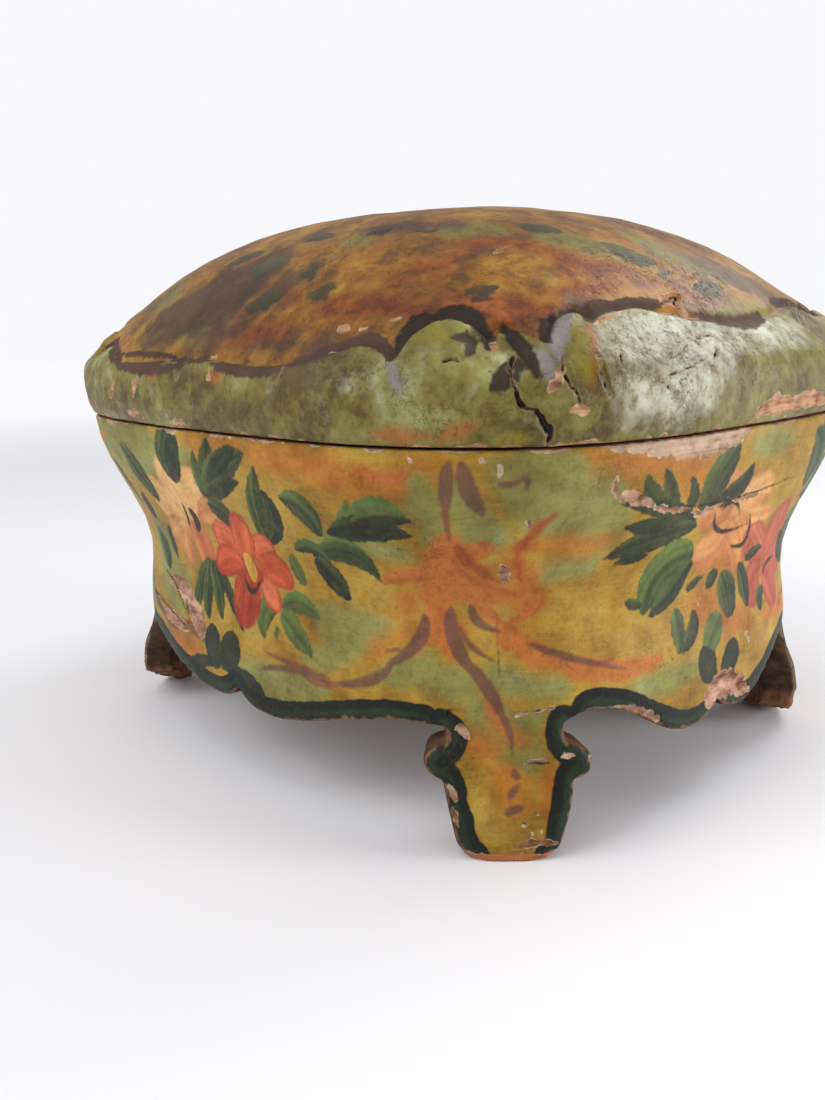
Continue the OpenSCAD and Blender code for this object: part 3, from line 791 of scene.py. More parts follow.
# The painted border's path
# The border follows the lower edge of the boards and both sides of each foot, so its path is found
# on the carved skin: the lowest point at each step along, and each foot's sides.
apron_top = 60
step_along = 0.8
step_up = 0.7
slice_half = 0.6
seen_sides = (points[:, 1] < 0) | (points[:, 0] > 0)
outside = points[(outward > 0.9) & seen_sides & (points[:, 2] < apron_top)]
along = along_rim(outside)
edge_points = []
for step in np.arange(-205, 182, step_along):
    column = outside[np.abs(along - step) < slice_half][:, 2]
    if len(column) and 15 < column.min() < foot_top - 1:
        edge_points.append((step, column.min()))
for corner_name in ("front_right", "front_left"):
    off_foot = off_middle(along, corner_name)
    beside = np.abs(off_foot) < foot_reach_sideways + 5
    for height in np.arange(1, neck_height + 1, step_up):
        row = off_foot[beside & (np.abs(outside[:, 2] - height) < slice_half)]
        if len(row):
            middle = foot_middles[corner_name]
            edge_points += [(row.min() + middle, height), (row.max() + middle, height)]
edge_points = np.array(edge_points)


def to_edge(along, height):
    """Distance of each point from the nearest painted edge, in millimetres and up to 30."""
    gap = np.full(len(along), 30.0)
    low = np.flatnonzero(height < apron_top - 4)
    for shift in (0, half_round, -half_round):
        for chunk in np.array_split(low, 60):
            off = np.hypot(
                along[chunk, None] - edge_points[None, :, 0] - shift,
                height[chunk, None] - edge_points[None, :, 1],
            )
            gap[chunk] = np.minimum(gap[chunk], off.min(axis=1))
    return gap


along = along_rim(points)
height = points[:, 2]
corner = from_corner(along)
leaf, leaf_tone = painted(along, height, front_leaves + side_leaves, 0.3, hair=0.2, vein=0.3)
trefoil = covered(along, height, trefoils, 0.6, 0.5)
give(body, "leaf", np.maximum(leaf, trefoil))
give(body, "leaf_tone", np.where(trefoil > leaf, 0.03, leaf_tone))
for name, strokes in (("red", red_petals), ("peach", peach_petals), ("pink", pink_petals)):
    depth, tone = painted(along, height, strokes, 0.15, 0.62, 0.5, apart=True, hair=0.2)
    give(body, name + "_petal", depth)
    give(body, name + "_tone", tone)
for name, strokes, spots, blunt in (
    ("heart", flower_hearts, along, 0.6),
    ("glaze", bow_glaze, corner, 0.5),
    ("strand", bow_strands, corner, 0.6),
):
    depth, tone = painted(spots, height, strokes, 0.1, blunt=blunt, hair=0.25)
    give(body, name, depth)
    give(body, name + "_tone", tone)
for name, strokes, at_corners in (
    ("sage", sage_patches, corner_sage),
    ("orange", orange_patches, corner_orange),
):
    depth = covered(along, height, strokes, 0.5, 0.4)
    give(body, name, np.maximum(depth, covered(corner, height, at_corners, 0.5, 0.4)))
give(body, "edge", to_edge(along, height))

ragged = 0.5 * ripple(points, 5, 3) + 0.45 * ripple(points, 2.2, 4)
loss = covered(along, height, body_losses, blunt=0.5)
broken = covered(along, height, broken_edges, blunt=0.5)
chip_line = np.interp(along, rim_chip_along, rim_chip_height, left=120, right=120)
rim_wear = height - rim_height + 0.2 + 0.9 * ripple(points, 13, 8) + 0.7 * ripple(points, 5, 9)
loss = loss - 0.35 + 0.7 * ragged
loss = np.maximum.reduce([loss, height - chip_line + ragged, broken + 1.2 * ragged])
loss = np.maximum(loss, rim_wear)

# Two feet are split and broken off short, and every sole is rubbed bare
highest_break = 12
broken_height = np.full(len(points), -5.0)
for corner_name, level, slope in (("front_left", 5.5, 0.5), ("back_right", 3.0, -0.3)):
    inside_quarter = (points[:, 0] > 0) == ("right" in corner_name)
    inside_quarter &= (points[:, 1] < 0) == ("front" in corner_name)
    bottom = level + slope * off_middle(along, corner_name)
    bottom = bottom + 1.0 * ripple(points, 7, 31) + 0.3 * ripple(points, 2.5, 32)
    broken_height = np.where(inside_quarter, np.minimum(bottom, highest_break), broken_height)
sole_wear = 2.4 - height + 0.8 * ripple(points, 6, 33)
loss = np.maximum.reduce([loss, broken_height + 7 - height + 2 * ragged, sole_wear])
crack = covered(along, height, body_cracks, blunt=0.2) + 0.12 * ripple(points, 3, 5)

# How far the knife, wear and cracks move the surface, in millimetres
hand_cut = 0.18 * ripple(points, 34, 1) + 0.07 * ripple(points, 11, 2)
flaked = 0.4 * np.clip(loss / 0.8, 0, 1) * outward
rough = 0.14 * ripple(points, 2.6, 6) * np.clip(loss, 0, 1)
bitten = np.clip((broken + 0.4 * ragged) / 6, 0, 1) * 2.6 * outward
split = 0.5 * np.clip(crack / 0.5 + 0.6, 0, 1) * outward
push(body, hand_cut * outward + rough - flaked - bitten - split)
moved = points_of(body)
moved[:, 2] = np.maximum(moved[:, 2], np.maximum(broken_height, 0))
body.data.vertices.foreach_set("co", (moved * millimetre).ravel())
body.data.update()
give(body, "loss", np.clip(loss, -5, 5))
give(body, "crack", np.clip(crack, -3, 3))
give(body, "outside", outward)

body_pieces = {}
for number, side in enumerate(side_names):
    own = (body_side == number) & ~on_foot
    body_pieces[side + "_board"] = taken_from(body, "painted_" + side + "_board", own)
for corner_name in corner_names:
    own = on_foot & (right_half == ("right" in corner_name))
    own &= front_half == ("front" in corner_name)
    foot = "foot_" + corner_name
    body_pieces[foot] = taken_from(body, "painted_" + foot, own)
bpy.data.objects.remove(body)


# Effects that the paints share
# The ragged edge of a brushed or flaked area, fine age cracks in the varnish, dirt, and bare old
# wood. Each is a node group that puts out masks, or a colour and a height.
def noise_at(tree, scale, detail=4.0, stretch=None, roughness=0.55):
    spot = place(tree, "ShaderNodeTexCoord").outputs["Object"]
    if stretch:
        spot = place(tree, "ShaderNodeMapping", {"Vector": spot, "Scale": stretch}).outputs[0]
    inputs = {"Vector": spot, "Scale": scale, "Detail": detail, "Roughness": roughness}
    return place(tree, "ShaderNodeTexNoise", inputs).outputs["Fac"]


def new_group(name, inputs, outputs):
    """An empty node group with named sockets; returns it with its input and output nodes."""
    group = bpy.data.node_groups.new(name, "ShaderNodeTree")
    for label, kind, value in inputs:
        socket = group.interface.new_socket(label, in_out="INPUT", socket_type=kind)
        if value is not None:
            socket.default_value = value
    for label, kind in outputs:
        group.interface.new_socket(label, in_out="OUTPUT", socket_type=kind)
    entry = group.nodes.new("NodeGroupInput").outputs
    leave = group.nodes.new("NodeGroupOutput").inputs
    return group, entry, leave


ragged_edge, entry, leave = new_group(
    "ragged_edge",
    [
        ("Depth", "NodeSocketFloat", 0.0),
        ("Raggedness", "NodeSocketFloat", 0.6),
        ("Grain", "NodeSocketFloat", 700.0),
        ("Softness", "NodeSocketFloat", 0.6),
    ],
    [("Mask", "NodeSocketFloat")],
)
noise = noise_at(ragged_edge, entry["Grain"], 3.0, roughness=0.5)
wander = rising(ragged_edge, noise, 0.5, 2.4, clamp=False)
deep = sums(ragged_edge, "MULTIPLY_ADD", wander, entry["Raggedness"], entry["Depth"])
slope = sums(ragged_edge, "DIVIDE", deep, entry["Softness"])
mask = sums(ragged_edge, "ADD", slope, 0.5, clamp=True)
ragged_edge.links.new(mask, leave["Mask"])

age_cracks, entry, leave = new_group(
    "age_cracks",
    [
        ("Cells", "NodeSocketFloat", 260.0),
        ("Width", "NodeSocketFloat", 0.04),
        ("Cover", "NodeSocketFloat", 0.5),
    ],
    [("Mask", "NodeSocketFloat")],
)
spot = place(age_cracks, "ShaderNodeTexCoord").outputs["Object"]
bent = place(
    age_cracks, "ShaderNodeTexNoise", {"Vector": spot, "Scale": 130.0, "Detail": 5.0}
).outputs["Color"]
bent = place(age_cracks, "ShaderNodeVectorMath", {0: bent, "Scale": 0.016}, operation="SCALE")
spot_bent = place(
    age_cracks, "ShaderNodeVectorMath", {0: spot, 1: bent.outputs[0]}, operation="ADD"
).outputs[0]
gaps = place(
    age_cracks,
    "ShaderNodeTexVoronoi",
    {"Vector": spot_bent, "Scale": entry["Cells"]},
    feature="DISTANCE_TO_EDGE",
).outputs["Distance"]
line = sums(age_cracks, "SUBTRACT", 1.0, sums(age_cracks, "DIVIDE", gaps, entry["Width"]))
patchy = sums(age_cracks, "ADD", noise_at(age_cracks, 55.0, 5.0, roughness=0.5), entry["Cover"])
patchy = rising(age_cracks, patchy, 0.9, 6.0)
broken_up = rising(age_cracks, noise_at(age_cracks, 420.0, 2.0, roughness=0.5), 0.4, 5.0)
line = sums(age_cracks, "MULTIPLY", sums(age_cracks, "MAXIMUM", line, 0.0), patchy)
age_cracks.links.new(sums(age_cracks, "MULTIPLY", line, broken_up), leave["Mask"])

grime, entry, leave = new_group(
    "grime",
    [("Amount", "NodeSocketFloat", 0.5)],
    [("Film", "NodeSocketFloat"), ("Specks", "NodeSocketFloat")],
)
film = rising(grime, noise_at(grime, 28.0, 7.0, roughness=0.65), 0.42, 3.5)
film = sums(grime, "MULTIPLY", film, entry["Amount"])
spot = place(grime, "ShaderNodeTexCoord").outputs["Object"]
dots = place(
    grime, "ShaderNodeTexVoronoi", {"Vector": spot, "Scale": 330.0, "Randomness": 1.0}
).outputs
size = rising(grime, noise_at(grime, 90.0, 4.0, roughness=0.5), 0.5, 0.9, clamp=False)
dot = sums(grime, "SUBTRACT", size, dots["Distance"])
dot = sums(grime, "MULTIPLY", dot, 12.0, clamp=True)
grime.links.new(film, leave["Film"])
grime.links.new(dot, leave["Specks"])

bare_wood, entry, leave = new_group(
    "bare_wood",
    [
        ("Light", "NodeSocketColor", white),
        ("Dark", "NodeSocketColor", white),
        ("Across", "NodeSocketFloat", 40.0),
    ],
    [("Colour", "NodeSocketColor"), ("Height", "NodeSocketFloat")],
)
spot = place(bare_wood, "ShaderNodeTexCoord").outputs["Object"]
fineness = place(bare_wood, "ShaderNodeCombineXYZ", {"X": 40.0, "Y": entry["Across"], "Z": 420.0})
stretch = place(
    bare_wood, "ShaderNodeMapping", {"Vector": spot, "Scale": fineness.outputs["Vector"]}
)
fibre = place(
    bare_wood,
    "ShaderNodeTexNoise",
    {"Vector": stretch.outputs[0], "Scale": 1.0, "Detail": 6.0, "Roughness": 0.7},
).outputs["Fac"]
blotch = noise_at(bare_wood, 260.0, 5.0, roughness=0.5)
share = rising(bare_wood, sums(bare_wood, "MULTIPLY_ADD", fibre, 1.8, blotch), 1.14, 1.7)
bare_wood.links.new(blended(bare_wood, share, entry["Dark"], entry["Light"]), leave["Colour"])
bare_wood.links.new(share, leave["Height"])

# The body's paint
# Gesso, then an ochre ground brushed on level, with sage and orange glazes, the flowers, leaves
# and ribbons over it, a dark green border, and old varnish. Chips show gesso and pinkish wood.


def read(tree, name):
    return place(tree, "ShaderNodeAttribute", attribute_name=name).outputs["Fac"]


def edge_mask(tree, depth, raggedness, grain, softness):
    inputs = {
        "Depth": depth,
        "Raggedness": raggedness,
        "Grain": grain,
        "Softness": softness,
    }
    return place(tree, "ShaderNodeGroup", inputs, node_tree=ragged_edge).outputs["Mask"]


def old_wood(tree, light, dark, across=40.0):
    """Bare wood between two tones; returns its outputs."""
    inputs = {"Light": light, "Dark": dark, "Across": across}
    return place(tree, "ShaderNodeGroup", inputs, node_tree=bare_wood).outputs


def ramp(tree, value, *stops):
    """Runs through colours at rising places from 0 to 1."""
    band = place(tree, "ShaderNodeValToRGB", {"Fac": value})
    elements = band.color_ramp.elements
    while len(elements) < len(stops):
        elements.new(0.5)
    for element, (position, colour) in zip(elements, stops):
        element.position = position
        element.color = colour
    return band.outputs["Color"]


def contrast(tree, value, middle, gain):
    shifted = sums(tree, "SUBTRACT", value, middle)
    return sums(tree, "MULTIPLY_ADD", shifted, gain, 0.5, clamp=True)


def glaze_over(tree, below, share, mask, colour, kind="MIX"):
    return blended(tree, sums(tree, "MULTIPLY", mask, share), below, colour, kind)


def added(tree, total, *layers):
    """Adds each layer to a total, times its own weight."""
    for layer, weight in layers:
        total = sums(tree, "MULTIPLY_ADD", layer, weight, total)
    return total


def raise_surface(tree, surface, height, strength, depth):
    """Lets a height stand out from the surface, by a depth in metres."""
    inputs = {"Height": height, "Strength": strength, "Distance": depth}
    bump = place(tree, "ShaderNodeBump", inputs)
    tree.links.new(bump.outputs["Normal"], surface.inputs["Normal"])


body_paint, tree, surface = fresh_material("body_paint")
streaks = noise_at(tree, 1.0, 5.0, stretch=(110, 110, 900), roughness=0.65)
clouds = noise_at(tree, 34.0, 7.0, roughness=0.62)
fine = noise_at(tree, 300.0, 5.0, roughness=0.65)
worked = sums(tree, "MULTIPLY_ADD", streaks, 0.35, clouds)
worked = sums(tree, "MULTIPLY_ADD", fine, 0.45, worked)
ochre_share = contrast(tree, worked, 0.9, 2.6)
colour = ramp(
    tree,
    ochre_share,
    (0.0, tint(136, 100, 28)),
    (0.45, tint(170, 134, 44)),
    (1.0, tint(190, 160, 72)),
)
sage_share = contrast(tree, worked, 0.9, 2.2)
sage_colour = ramp(
    tree,
    sage_share,
    (0.0, tint(122, 118, 54)),
    (0.5, tint(140, 142, 78)),
    (1.0, tint(156, 162, 104)),
)
sage_mask = edge_mask(tree, read(tree, "sage"), 3.4, 100.0, 3.6)
colour = glaze_over(tree, colour, 0.92, sage_mask, sage_colour)
orange_colour = ramp(tree, fine, (0.35, tint(170, 94, 30)), (0.65, tint(200, 128, 46)))
orange_mask = edge_mask(tree, read(tree, "orange"), 4.0, 130.0, 5.5)
colour = glaze_over(tree, colour, 0.75, orange_mask, orange_colour)

thin = contrast(tree, streaks, 0.42, 2.4)
thin = sums(tree, "MULTIPLY_ADD", thin, 0.35, 0.62)
glaze_tone = sums(tree, "MULTIPLY_ADD", fine, 0.5, read(tree, "glaze_tone"))
glaze_colour = ramp(
    tree, glaze_tone, (0.55, tint(158, 76, 44)), (1.0, tint(194, 112, 54))
)
glaze_mask = edge_mask(tree, read(tree, "glaze"), 1.8, 260.0, 1.6)
colour = glaze_over(tree, colour, thin, glaze_mask, glaze_colour)
strand_colour = ramp(
    tree, read(tree, "strand_tone"), (0.2, tint(110, 76, 64)), (0.6, tint(152, 78, 50))
)
strand_mask = edge_mask(tree, read(tree, "strand"), 0.35, 420.0, 0.9)
colour = glaze_over(tree, colour, 0.86, strand_mask, strand_colour)


def petals(below, name, rim, *stops):
    """One flower's petals: lighter and darker strokes, darker along each petal's edge."""
    depth = read(tree, name + "_petal")
    tone = sums(tree, "MULTIPLY_ADD", fine, 0.7, read(tree, name + "_tone"))
    tone = sums(tree, "SUBTRACT", tone, 0.35)
    flower = ramp(tree, tone, *stops)
    heart = edge_mask(tree, sums(tree, "SUBTRACT", depth, 1.2), 0.9, 420.0, 1.8)
    flower = blended(tree, sums(tree, "MULTIPLY_ADD", heart, rim, 1 - rim), stops[0][1], flower)
    mask = edge_mask(tree, depth, 0.8, 560.0, 0.9)
    cover = sums(tree, "MULTIPLY_ADD", contrast(tree, fine, 0.38, 4.0), 0.3, 0.68)
    return glaze_over(tree, below, cover, mask, flower)


colour = petals(
    colour,
    "peach",
    0.35,
    (0.1, tint(186, 98, 62)),
    (0.5, tint(208, 142, 84)),
    (0.9, tint(226, 182, 116)),
)
colour = petals(
    colour,
    "pink",
    0.6,
    (0.1, tint(158, 64, 50)),
    (0.5, tint(188, 96, 74)),
    (0.9, tint(206, 134, 102)),
)
leaf_tone = sums(tree, "MULTIPLY_ADD", fine, 0.5, read(tree, "leaf_tone"))
leaf_colour = ramp(
    tree,
    sums(tree, "SUBTRACT", leaf_tone, 0.25),
    (0.0, tint(32, 44, 34)),
    (0.3, tint(56, 72, 42)),
    (0.6, tint(92, 110, 54)),
    (1.0, tint(98, 130, 66)),
)
leaf_mask = edge_mask(tree, read(tree, "leaf"), 0.65, 640.0, 0.6)
leaf_cover = sums(tree, "MULTIPLY_ADD", contrast(tree, fine, 0.4, 4.0), 0.16, 0.83)
colour = glaze_over(tree, colour, leaf_cover, leaf_mask, leaf_colour)
colour = petals(
    colour,
    "red",
    0.75,
    (0.05, tint(164, 50, 30)),
    (0.45, tint(208, 84, 50)),
    (0.95, tint(232, 142, 92)),
)
heart_colour = ramp(
    tree, read(tree, "heart_tone"), (0.3, tint(62, 40, 30)), (0.8, tint(216, 168, 66))
)
colour = blended(tree, edge_mask(tree, read(tree, "heart"), 0.4, 600.0, 0.6), colour, heart_colour)

# The border: near black green, lighter green in its lower part, worn to brown on the very edge
edge = read(tree, "edge")
band = edge_mask(tree, sums(tree, "SUBTRACT", 6.0, edge), 0.7, 200.0, 0.5)
lower = sums(tree, "SUBTRACT", 0.9, sums(tree, "ABSOLUTE", sums(tree, "SUBTRACT", edge, 2.2)))
lower = edge_mask(tree, lower, 1.8, 90.0, 1.2)
green = glaze_over(tree, tint(26, 32, 26), 0.6, lower, tint(44, 66, 44))
colour = blended(tree, band, colour, green)
rubbed = edge_mask(tree, sums(tree, "SUBTRACT", 0.6, edge), 1.8, 240.0, 0.6)
colour = glaze_over(tree, colour, 0.9, rubbed, tint(128, 96, 66))

dirt = place(tree, "ShaderNodeGroup", {"Amount": 0.45}, node_tree=grime)
colour = blended(tree, dirt.outputs["Film"], colour, tint(150, 116, 66), "MULTIPLY")
grain = noise_at(tree, 640.0, 4.0, roughness=0.7)
worn_thin = sums(tree, "MULTIPLY_ADD", grain, 0.5, noise_at(tree, 150.0, 7.0, roughness=0.7))
worn_thin = contrast(tree, worn_thin, 0.79, 6.0)
colour = glaze_over(tree, colour, 0.45, worn_thin, tint(166, 132, 92), "MULTIPLY")
specks = sums(tree, "SUBTRACT", 1.0, contrast(tree, grain, 0.37, 10.0))
colour = glaze_over(tree, colour, 0.35, specks, tint(66, 48, 26))
cracks = place(
    tree, "ShaderNodeGroup", {"Cells": 360.0, "Width": 0.07, "Cover": 0.4}, node_tree=age_cracks
).outputs["Mask"]
colour = glaze_over(tree, colour, 0.55, cracks, tint(74, 54, 28))
colour = glaze_over(tree, colour, 0.75, dirt.outputs["Specks"], tint(56, 42, 28))

loss = read(tree, "loss")
lost = edge_mask(tree, loss, 0.6, 520.0, 0.3)
gesso_ring = edge_mask(tree, sums(tree, "ADD", loss, 0.04), 0.8, 420.0, 0.3)
wood = old_wood(tree, tint(206, 168, 142), tint(124, 84, 64))
spot = place(tree, "ShaderNodeTexCoord").outputs["Object"]
rise = place(tree, "ShaderNodeSeparateXYZ", {0: spot}).outputs["Z"]
# Heights in metres, up from the table
sole_top = 0.0035
split_top = 0.015
browned_top = 0.02
stain_top = 0.034
rubbed_rim = 0.1085
on_sole = rising(tree, sole_top, rise, 900.0)
brown = ramp(tree, fine, (0.35, tint(92, 58, 36)), (0.65, tint(150, 106, 76)))
dark_spots = contrast(tree, fine, 0.54, 5.0)
bared = glaze_over(tree, wood["Colour"], 0.6, dark_spots, tint(176, 134, 112), "MULTIPLY")
bared = blended(tree, rising(tree, browned_top, rise, 300.0), bared, brown)
sole_colour = ramp(tree, streaks, (0.3, tint(156, 88, 48)), (0.7, tint(194, 126, 78)))
bared = blended(tree, on_sole, bared, sole_colour)
at_rim = rising(tree, rise, rubbed_rim, 500.0)
at_rim = sums(tree, "MULTIPLY", at_rim, contrast(tree, fine, 0.46, 6.0))
bared = glaze_over(tree, bared, 0.5, at_rim, tint(206, 188, 160))
colour = glaze_over(tree, colour, 0.75, gesso_ring, tint(206, 190, 154))
colour = blended(tree, lost, colour, bared)
crack = edge_mask(tree, read(tree, "crack"), 0.3, 500.0, 0.35)
colour = glaze_over(tree, colour, 0.85, crack, tint(46, 32, 24))

inside_wood = old_wood(tree, tint(136, 98, 68), tint(88, 60, 43))
outside = sums(tree, "SUBTRACT", read(tree, "outside"), 0.5)
outside_mask = edge_mask(tree, outside, 0.4, 320.0, 0.5)
stain = ramp(tree, fine, (0.38, tint(30, 29, 24)), (0.7, tint(76, 58, 44)))
stained = rising(tree, stain_top, rise, 250.0)
hidden_wood = glaze_over(tree, inside_wood["Colour"], 0.85, stained, stain)
split_foot = rising(tree, split_top, rise, 350.0)
hidden_wood = glaze_over(tree, hidden_wood, 0.75, split_foot, brown)
colour = blended(tree, outside_mask, hidden_wood, colour)
tree.links.new(colour, surface.inputs["Base Color"])

surface.inputs["Specular IOR Level"].default_value = 0.2
gloss = added(tree, 0.38, (clouds, 0.2), (lost, 0.3))
bare = sums(tree, "SUBTRACT", 1.0, outside_mask)
gloss = sums(tree, "MULTIPLY_ADD", bare, 0.4, gloss, clamp=True)
tree.links.new(gloss, surface.inputs["Roughness"])
relief = added(
    tree,
    sums(tree, "MULTIPLY", streaks, 0.3),
    (leaf_mask, 0.12),
    (cracks, -0.4),
    (lost, -0.6),
    (wood["Height"], sums(tree, "MULTIPLY", lost, 0.4)),
    (grain, 0.3),
)
relief_depth = 0.0007
raise_surface(tree, surface, relief, 0.65, relief_depth)

for node, piece in body_pieces.items():
    piece.data.materials.append(body_paint)
    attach(piece, "box")
    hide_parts(node)

# The base board
# A plain board let in between the sides, left bare and dark with age.
base = one_skin(["base_board"], cell=2.0, passes=2)
base.name = "bare_base_board"
push(base, 0.12 * ripple(points_of(base), 40, 21))
level_grain = 300.0
old_pine, tree, surface = fresh_material("old_pine")
wood = old_wood(tree, tint(128, 92, 64), tint(84, 58, 42), level_grain)
tree.links.new(wood["Colour"], surface.inputs["Base Color"])
surface.inputs["Roughness"].default_value = 0.8
raise_surface(tree, surface, wood["Height"], 0.4, 0.0004)
base.data.materials.append(old_pine)
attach(base, "box")
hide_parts("base_board")

# The lid's skin
# Four mitred rails under a top carved from one block, with a pair of scrolls at each corner, made
# into one skin in the same way. The top's hidden inside keeps fewer faces.
lid_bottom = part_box("lid_front_rail")[0][2] / millimetre
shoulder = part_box("lid_top")[0][2] / millimetre
rail_height = shoulder - lid_bottom
dome_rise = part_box("lid_top")[1][2] / millimetre - shoulder
dome_fullness = 3.17
dome_crown = 1.07
lid = one_skin(
    ["lid_top"] + ["lid_" + side + "_rail" for side in side_names], cell=0.93, passes=6
)
part_mitres(lid, shoulder + 1)
near_shoulder = np.abs(face_middles(lid)[:, 2] - shoulder) < near_cut
part(lid, near_shoulder, (0, 0, shoulder), (0, 0, 1))
middles = face_middles(lid)
on_top = middles[:, 2] > shoulder
lid_side = side_of(middles)


def up_the_lid(points):
    """Way up the lid from its lower edge, in millimetres: up the rail, then in over the dome."""
    above = np.clip(points[:, 2] - shoulder, 0, dome_rise - 0.01)
    share = np.clip(1 - (above / dome_rise) ** (1 / dome_crown), 0, 1) ** (1 / dome_fullness)
    out = np.hypot(points[:, 0], points[:, 1]) / np.maximum(share, 0.02)
    up = rail_height + np.hypot(above, (1 - share) * out)
    return np.where(above > 0, up, points[:, 2] - lid_bottom)


# The lid's painted ornament
# Rails and scrolls are olive green up to a wavy edge, and the dome is ochre and orange brown under
# dark varnish. Strokes go by the way along the rim and up the lid.
olive_edge_along = (-106, -95, -71, -56, -43, -33, -26, -22, -18, -13, -8, -2, 2, 5, 10, 15)
olive_edge_up = (21, 21, 19, 20, 24, 27, 25, 22, 30, 35, 36, 34, 29, 31, 31, 27)
olive_edge_along += (18, 22, 26, 30, 34, 49, 69, 93)
olive_edge_up += (33, 36, 37, 35, 36, 38, 33, 31)
# Dark lines that draw the scrolls and the shoulder: 0 is black green and 1 is purple brown
dark_lines = [
    ((-22, 25), (-17, 35), (-8, 36), 5, 0.02),
    ((-13, 36), (-3, 37), (1, 27), 6.2, 0.02),
    ((-1, 31), (2, 29), (1, 25), 4, 0.1),
    ((-23, 24), (-21, 27), (-18, 31), 2.4, 0.2),
    ((-8, 29), (-3, 28), (-5, 22), 3.6, 0.4),
    ((6, 33), (9, 27), (12, 16), 4.4, 0.12),
    ((8, 21), (5, 17), (1, 14), 5, 0.25),
    ((16, 27), (16, 32), (21, 37), 3.4, 0.1),
    ((21, 36), (26, 38), (31, 35), 3, 0.45),
    ((29, 34), (34, 38), (45, 39), 6, 0.7),
    ((40, 39), (50, 40), (62, 39), 4.5, 0.6),
    ((76, 35), (92, 31), (132, 31), 5.5, 0.85),
    ((-107, 20), (-101, 21), (-94, 21), 3.4, 0.9),
    ((-93, 20), (-72, 18), (-54, 20), 4, 0.9),
    ((-58, 20), (-46, 24), (-36, 28), 5, 0.9),
    ((-39, 27), (-29, 28), (-23, 21), 5, 0.9),
]
left_lines = [
    ((-164, 23), (-132, 23), (-116, 22), 2.2, 0.7),
    ((-150, 19), (-127, 17), (-104, 20), 3.4, 0.9),
]
# Pale lilac grey strokes on the scrolls: partly lilac paint, partly painted highlights where their
# steep carved faces catch the light
pale_paint_and_highlight_strokes = [
    ((25, 36), (19, 31), (17, 21), 5),
    ((-24, 20), (-22, 17), (-21, 12), 3.2),
    ((12, 25), (14, 21), (14, 16), 3.6),
]
yellow_strokes = [
    ((26, 35), (24, 27), (23, 15), 6.5),
    ((10, 2.4), (6, 2), (2, 2), 4),
    ((-20, 30), (-14, 31), (-9, 28), 6),
]
seam_patches = [
    ((29, 34), (27, 26), (24, 15), 2.6),
    ((-30, 3), (-21, 3.4), (-13, 2.6), 4),
    ((-12, 2), (-8, 4), (-2, 6), 4),
    ((-92, 17), (-88, 16), (-84, 17), 3),
]
lid_losses = [
    ((13.6, 12.6), (16, 16), (18.4, 20.4), 3),
    ((20.6, 10), (22, 9), (23.6, 8.6), 4),
    ((86, 3), (98, 5), (110, 3), 6),
    ((102, 4), (116, 5), (132, 3), 5.5),
    ((60, 41), (67, 39), (70, 31), 4.5),
    ((29, 32), (36, 34.4), (46, 37), 1.8),
    ((-134, 15), (-136, 12), (-137, 8), 4),
    ((-151, 13), (-154, 10), (-156, 7), 3.4),
    ((-93, 18), (-92, 16), (-90, 14.6), 3),
    ((-144, 3.4), (-138, 3.2), (-132, 2), 3),
    ((-116, 2), (-111, 2.2), (-106, 1.4), 2),
    ((-43.4, 32), (-41, 32.4), (-38.6, 32), 3.6),
    ((-35.4, 32), (-34, 32.4), (-32.6, 33), 1.6),
    ((-30.4, 33), (-29, 34), (-28, 34.4), 1.6),
    ((-26, 35), (-24, 35.6), (-22.4, 36), 1.8),
    ((8, 63), (12, 65), (16.4, 66.4), 2),
    ((30.8, 53), (32, 52), (33.4, 51), 1.1),
    ((29.6, 52), (31, 51), (31.6, 49.6), 1.1),
    ((33.8, 46.4), (35, 45), (36.6, 43), 1.2),
    ((20.6, 60.4), (23, 60), (25.4, 59), 0.9),
    ((25.8, 58.4), (27, 58), (28.6, 57), 0.9),
    ((91.6, 51), (90, 50), (85, 46), 3),
    ((-97, 22), (-94.6, 22.2), (-92, 22), 1.6),
    ((-44, 24), (-43, 24.2), (-41, 24), 1),
    ((2, 27), (3, 26), (2.4, 23), 1.6),
]
lid_cracks = [
    ((7.2, 23), (6, 18), (7, 13.4), 0.55),
    ((7, 14), (7.8, 10.6), (10.4, 9), 0.95),
    ((9.4, 9.6), (12, 8), (14, 3.6), 1.2),
    ((13.4, 5), (15, 3.6), (14.4, 0), 1.5),
    ((18, 22), (18, 17), (20, 13.6), 0.45),
    ((20, 14), (21, 12), (22, 9.6), 0.45),
    ((-10.4, 21), (-8, 22.6), (-5.6, 21), 0.95),
    ((35, 22.4), (34, 20), (34, 17.6), 0.6),
    ((34, 18), (35, 17), (35, 15), 0.35),
    ((60, 39), (65, 41), (72, 42), 0.65),
    ((72, 42), (67, 38), (69, 32), 0.85),
    ((69, 32), (67, 29), (66, 26), 0.6),
    ((66, 26), (72, 27), (74.6, 25), 0.4),
    ((74, 25), (70, 21), (64, 15), 0.45),
    ((47, 21), (53, 20.6), (58, 23.4), 0.35),
    ((45, 15.4), (55, 17), (66, 20), 0.3),
    ((27, 22), (27, 17), (29.4, 11.6), 0.45),
    ((38, 19.4), (43, 16), (48, 12.6), 0.3),
    ((146, 40), (141, 34), (130, 27), 0.7),
    ((-58, 19.4), (-59, 17), (-61.4, 15), 0.55),
    ((-162, 23), (-159, 16), (-158, 5), 0.6),
]
